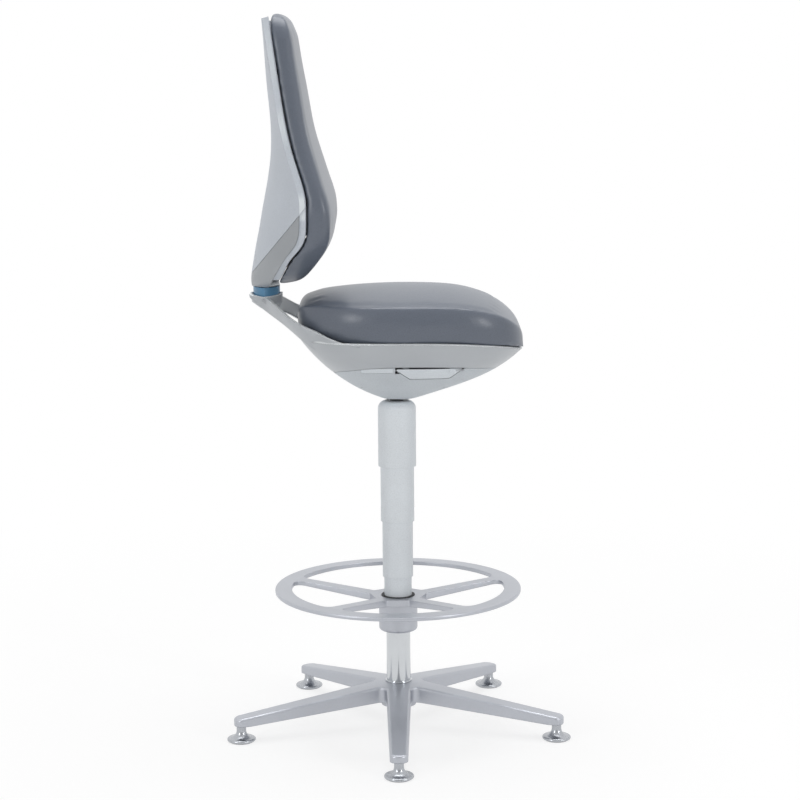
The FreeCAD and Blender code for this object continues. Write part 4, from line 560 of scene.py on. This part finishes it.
def mergedCopy(name, node, distance):
    # the solid's loose triangles joined into one closed skin
    mesh = nodes[node].data.copy()
    mesh.name = name
    mesh.materials.clear()
    work = bmesh.new()
    work.from_mesh(mesh)
    bmesh.ops.remove_doubles(work, verts=work.verts, dist=distance)
    work.to_mesh(mesh)
    work.free()
    piece = bpy.data.objects.new(name, mesh)
    scene.collection.objects.link(piece)
    return piece


def bakeModifiers(piece):
    graph = bpy.context.evaluated_depsgraph_get()
    mesh = bpy.data.meshes.new_from_object(piece.evaluated_get(graph))
    piece.modifiers.clear()
    old = piece.data
    piece.data = mesh
    bpy.data.meshes.remove(old)
    return mesh


def evenOut(values, edges, steps):
    # each row moves by a share of the way to the mean of its neighbours, once for each step
    first, second = edges.T
    count = len(values)
    neighbours = np.bincount(edges.ravel(), minlength=count)[:, None]
    for step in steps:
        total = np.empty_like(values)
        for column in range(values.shape[1]):
            total[:, column] = np.bincount(first, values[second, column], count)
            total[:, column] += np.bincount(second, values[first, column], count)
        values = values + step * (total / neighbours - values)
    return values


def putPoints(mesh, points):
    mesh.vertices.foreach_set("co", points.astype(np.float32).ravel())
    mesh.update()


def squareUp(points, values):
    # X grows by a share of the thickness at its level, times the square of the way out to the side,
    # times a smooth step of the depth; near the rear it shrinks, so that the edge meets the shell
    count = values["bands"]
    level = points[:, 2]
    edges = np.linspace(level.min(), level.max(), count + 1)
    band = np.clip(np.digitize(level, edges) - 1, 0, count - 1)
    middles = (edges[:-1] + edges[1:]) / 2
    rows = [points[band == number] for number in range(count)]
    rear = np.interp(level, middles, [row[:, 0].min() for row in rows])
    front = np.interp(level, middles, [row[:, 0].max() for row in rows])
    half = np.interp(level, middles, [np.abs(row[:, 1]).max() for row in rows])
    thick = np.maximum(front - rear, values["least"])
    depth = np.clip((points[:, 0] - rear) / thick, 0, 1)
    outward = np.clip(np.abs(points[:, 1]) / np.maximum(half, values["least"]), 0, 1) ** 2
    forward = np.clip((depth - values["crownFrom"]) / values["crownSpan"], 0, 1)
    shaped = points.copy()
    shaped[:, 0] += values["fillOut"] * thick * outward * forward ** 2 * (3 - 2 * forward)
    shaped[:, 0] -= values["pressBack"] * np.clip(1 - depth / values["rearShare"], 0, 1)
    return shaped


def stuffedCushion(name, node, values):
    # voxel skin of the solid, evened and drawn in a little, then blown up as cloth to a cap
    piece = mergedCopy(name, node, values["merge"])
    remesh = piece.modifiers.new("skin", "REMESH")
    remesh.mode = "VOXEL"
    remesh.voxel_size = values["voxel"]
    bpy.context.view_layer.update()
    mesh = bakeModifiers(piece)
    edges = np.empty(len(mesh.edges) * 2, np.int32)
    mesh.edges.foreach_get("vertices", edges)
    edges = edges.reshape(-1, 2)
    # steps out and back, so that the skin is evened and keeps its size
    skin = meshArray(mesh, "co")
    evened = evenOut(skin, edges, values["evenSteps"] * values["even"])
    # the held side stays as it is, up to its edge
    backing = meshArray(mesh, "normal") @ np.array(values["heldSide"])
    firm = (backing > values["firmShare"]).astype(float)[:, None]
    firm = evenOut(firm, edges, values["easeStep"] * values["firmEase"])
    evened = evened + (skin - evened) * np.clip(values["firmGain"] * firm, 0, 1)
    if "fillOut" in values:
        evened = squareUp(evened, values)
    putPoints(mesh, evened)
    start = meshArray(mesh, "co")
    normals = meshArray(mesh, "normal")
    held = normals @ np.array(values["heldSide"]) > values["heldShare"]
    inward = np.where(held, 0.0, values["drawIn"])[:, None]
    inward = evenOut(inward, edges, values["easeStep"] * values["ease"])
    start = start - normals * inward
    putPoints(mesh, start)
    pins = piece.vertex_groups.new(name="held")
    pins.add(np.flatnonzero(held).tolist(), 1.0, "REPLACE")
    cloth = piece.modifiers.new("stuffing", "CLOTH")
    cloth.settings.vertex_group_mass = "held"
    cloth.settings.quality = values["quality"]
    cloth.settings.mass = values["mass"]
    cloth.settings.tension_stiffness = values["stretch"]
    cloth.settings.compression_stiffness = values["stretch"]
    cloth.settings.shear_stiffness = values["stretch"] / 2
    cloth.settings.bending_stiffness = values["bend"]
    cloth.settings.use_pressure = True
    cloth.settings.uniform_pressure_force = values["pressure"]
    cloth.settings.effector_weights.gravity = 0
    cloth.point_cache.frame_start = 1
    cloth.point_cache.frame_end = values["frames"]
    for step in range(1, values["frames"] + 1):
        scene.frame_set(step)
    mesh = bakeModifiers(piece)
    piece.vertex_groups.clear()
    blown = meshArray(mesh, "co")
    # the swelling along each normal, capped and spread so that no ripple of the cloth is left
    reach = np.clip(((blown - start) * normals).sum(axis=1), 0.0, values["cap"])
    reach[held] = 0.0
    reach = evenOut(reach[:, None], edges, values["easeStep"] * values["ease"])
    putPoints(mesh, start + normals * reach)
    scene.frame_set(1)
    print(name, "blown out by up to", round(float(reach.max()) * 1000, 1), "mm")
    mesh.polygons.foreach_set("use_smooth", np.ones(len(mesh.polygons), bool))
    mesh.materials.clear()
    mesh.materials.append(leather)
    fine = piece.modifiers.new("fine", "SUBSURF")
    fine.levels = 1
    fine.render_levels = 1
    return piece


seatPad = {
    "merge": 0.00002,
    "voxel": 0.0050,
    "even": 14,
    "evenSteps": (0.5, -0.53),
    "ease": 10,
    "easeStep": (0.5,),
    "heldSide": (0, 0, -1),
    "heldShare": 0.5,
    "firmShare": 0.3,
    "firmEase": 2,
    "firmGain": 2,
    "drawIn": 0.0030,
    "quality": 6,
    "mass": 0.25,
    "stretch": 20.0,
    "bend": 2.0,
    "pressure": 4.0,
    "frames": 20,
    "cap": 0.0030,
    "fill": 0.9,
}
backPad = dict(seatPad, heldSide=(-1, 0, 0), heldShare=0.55, bands=60, least=0.001, fillOut=0.11,
               crownFrom=0.25, crownSpan=0.55, pressBack=0.0016, rearShare=0.3)


def makeCushions():
    for name, node, body, values in (("seatCushion", "seat_cushion", "seat", seatPad),
                                     ("backCushion", "back_cushion", "backrest", backPad)):
        piece = stuffedCushion(name, node, values)
        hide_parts(node)
        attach(piece, body)
        print(name, "ready:", len(piece.data.polygons), "faces")


makeCushions()
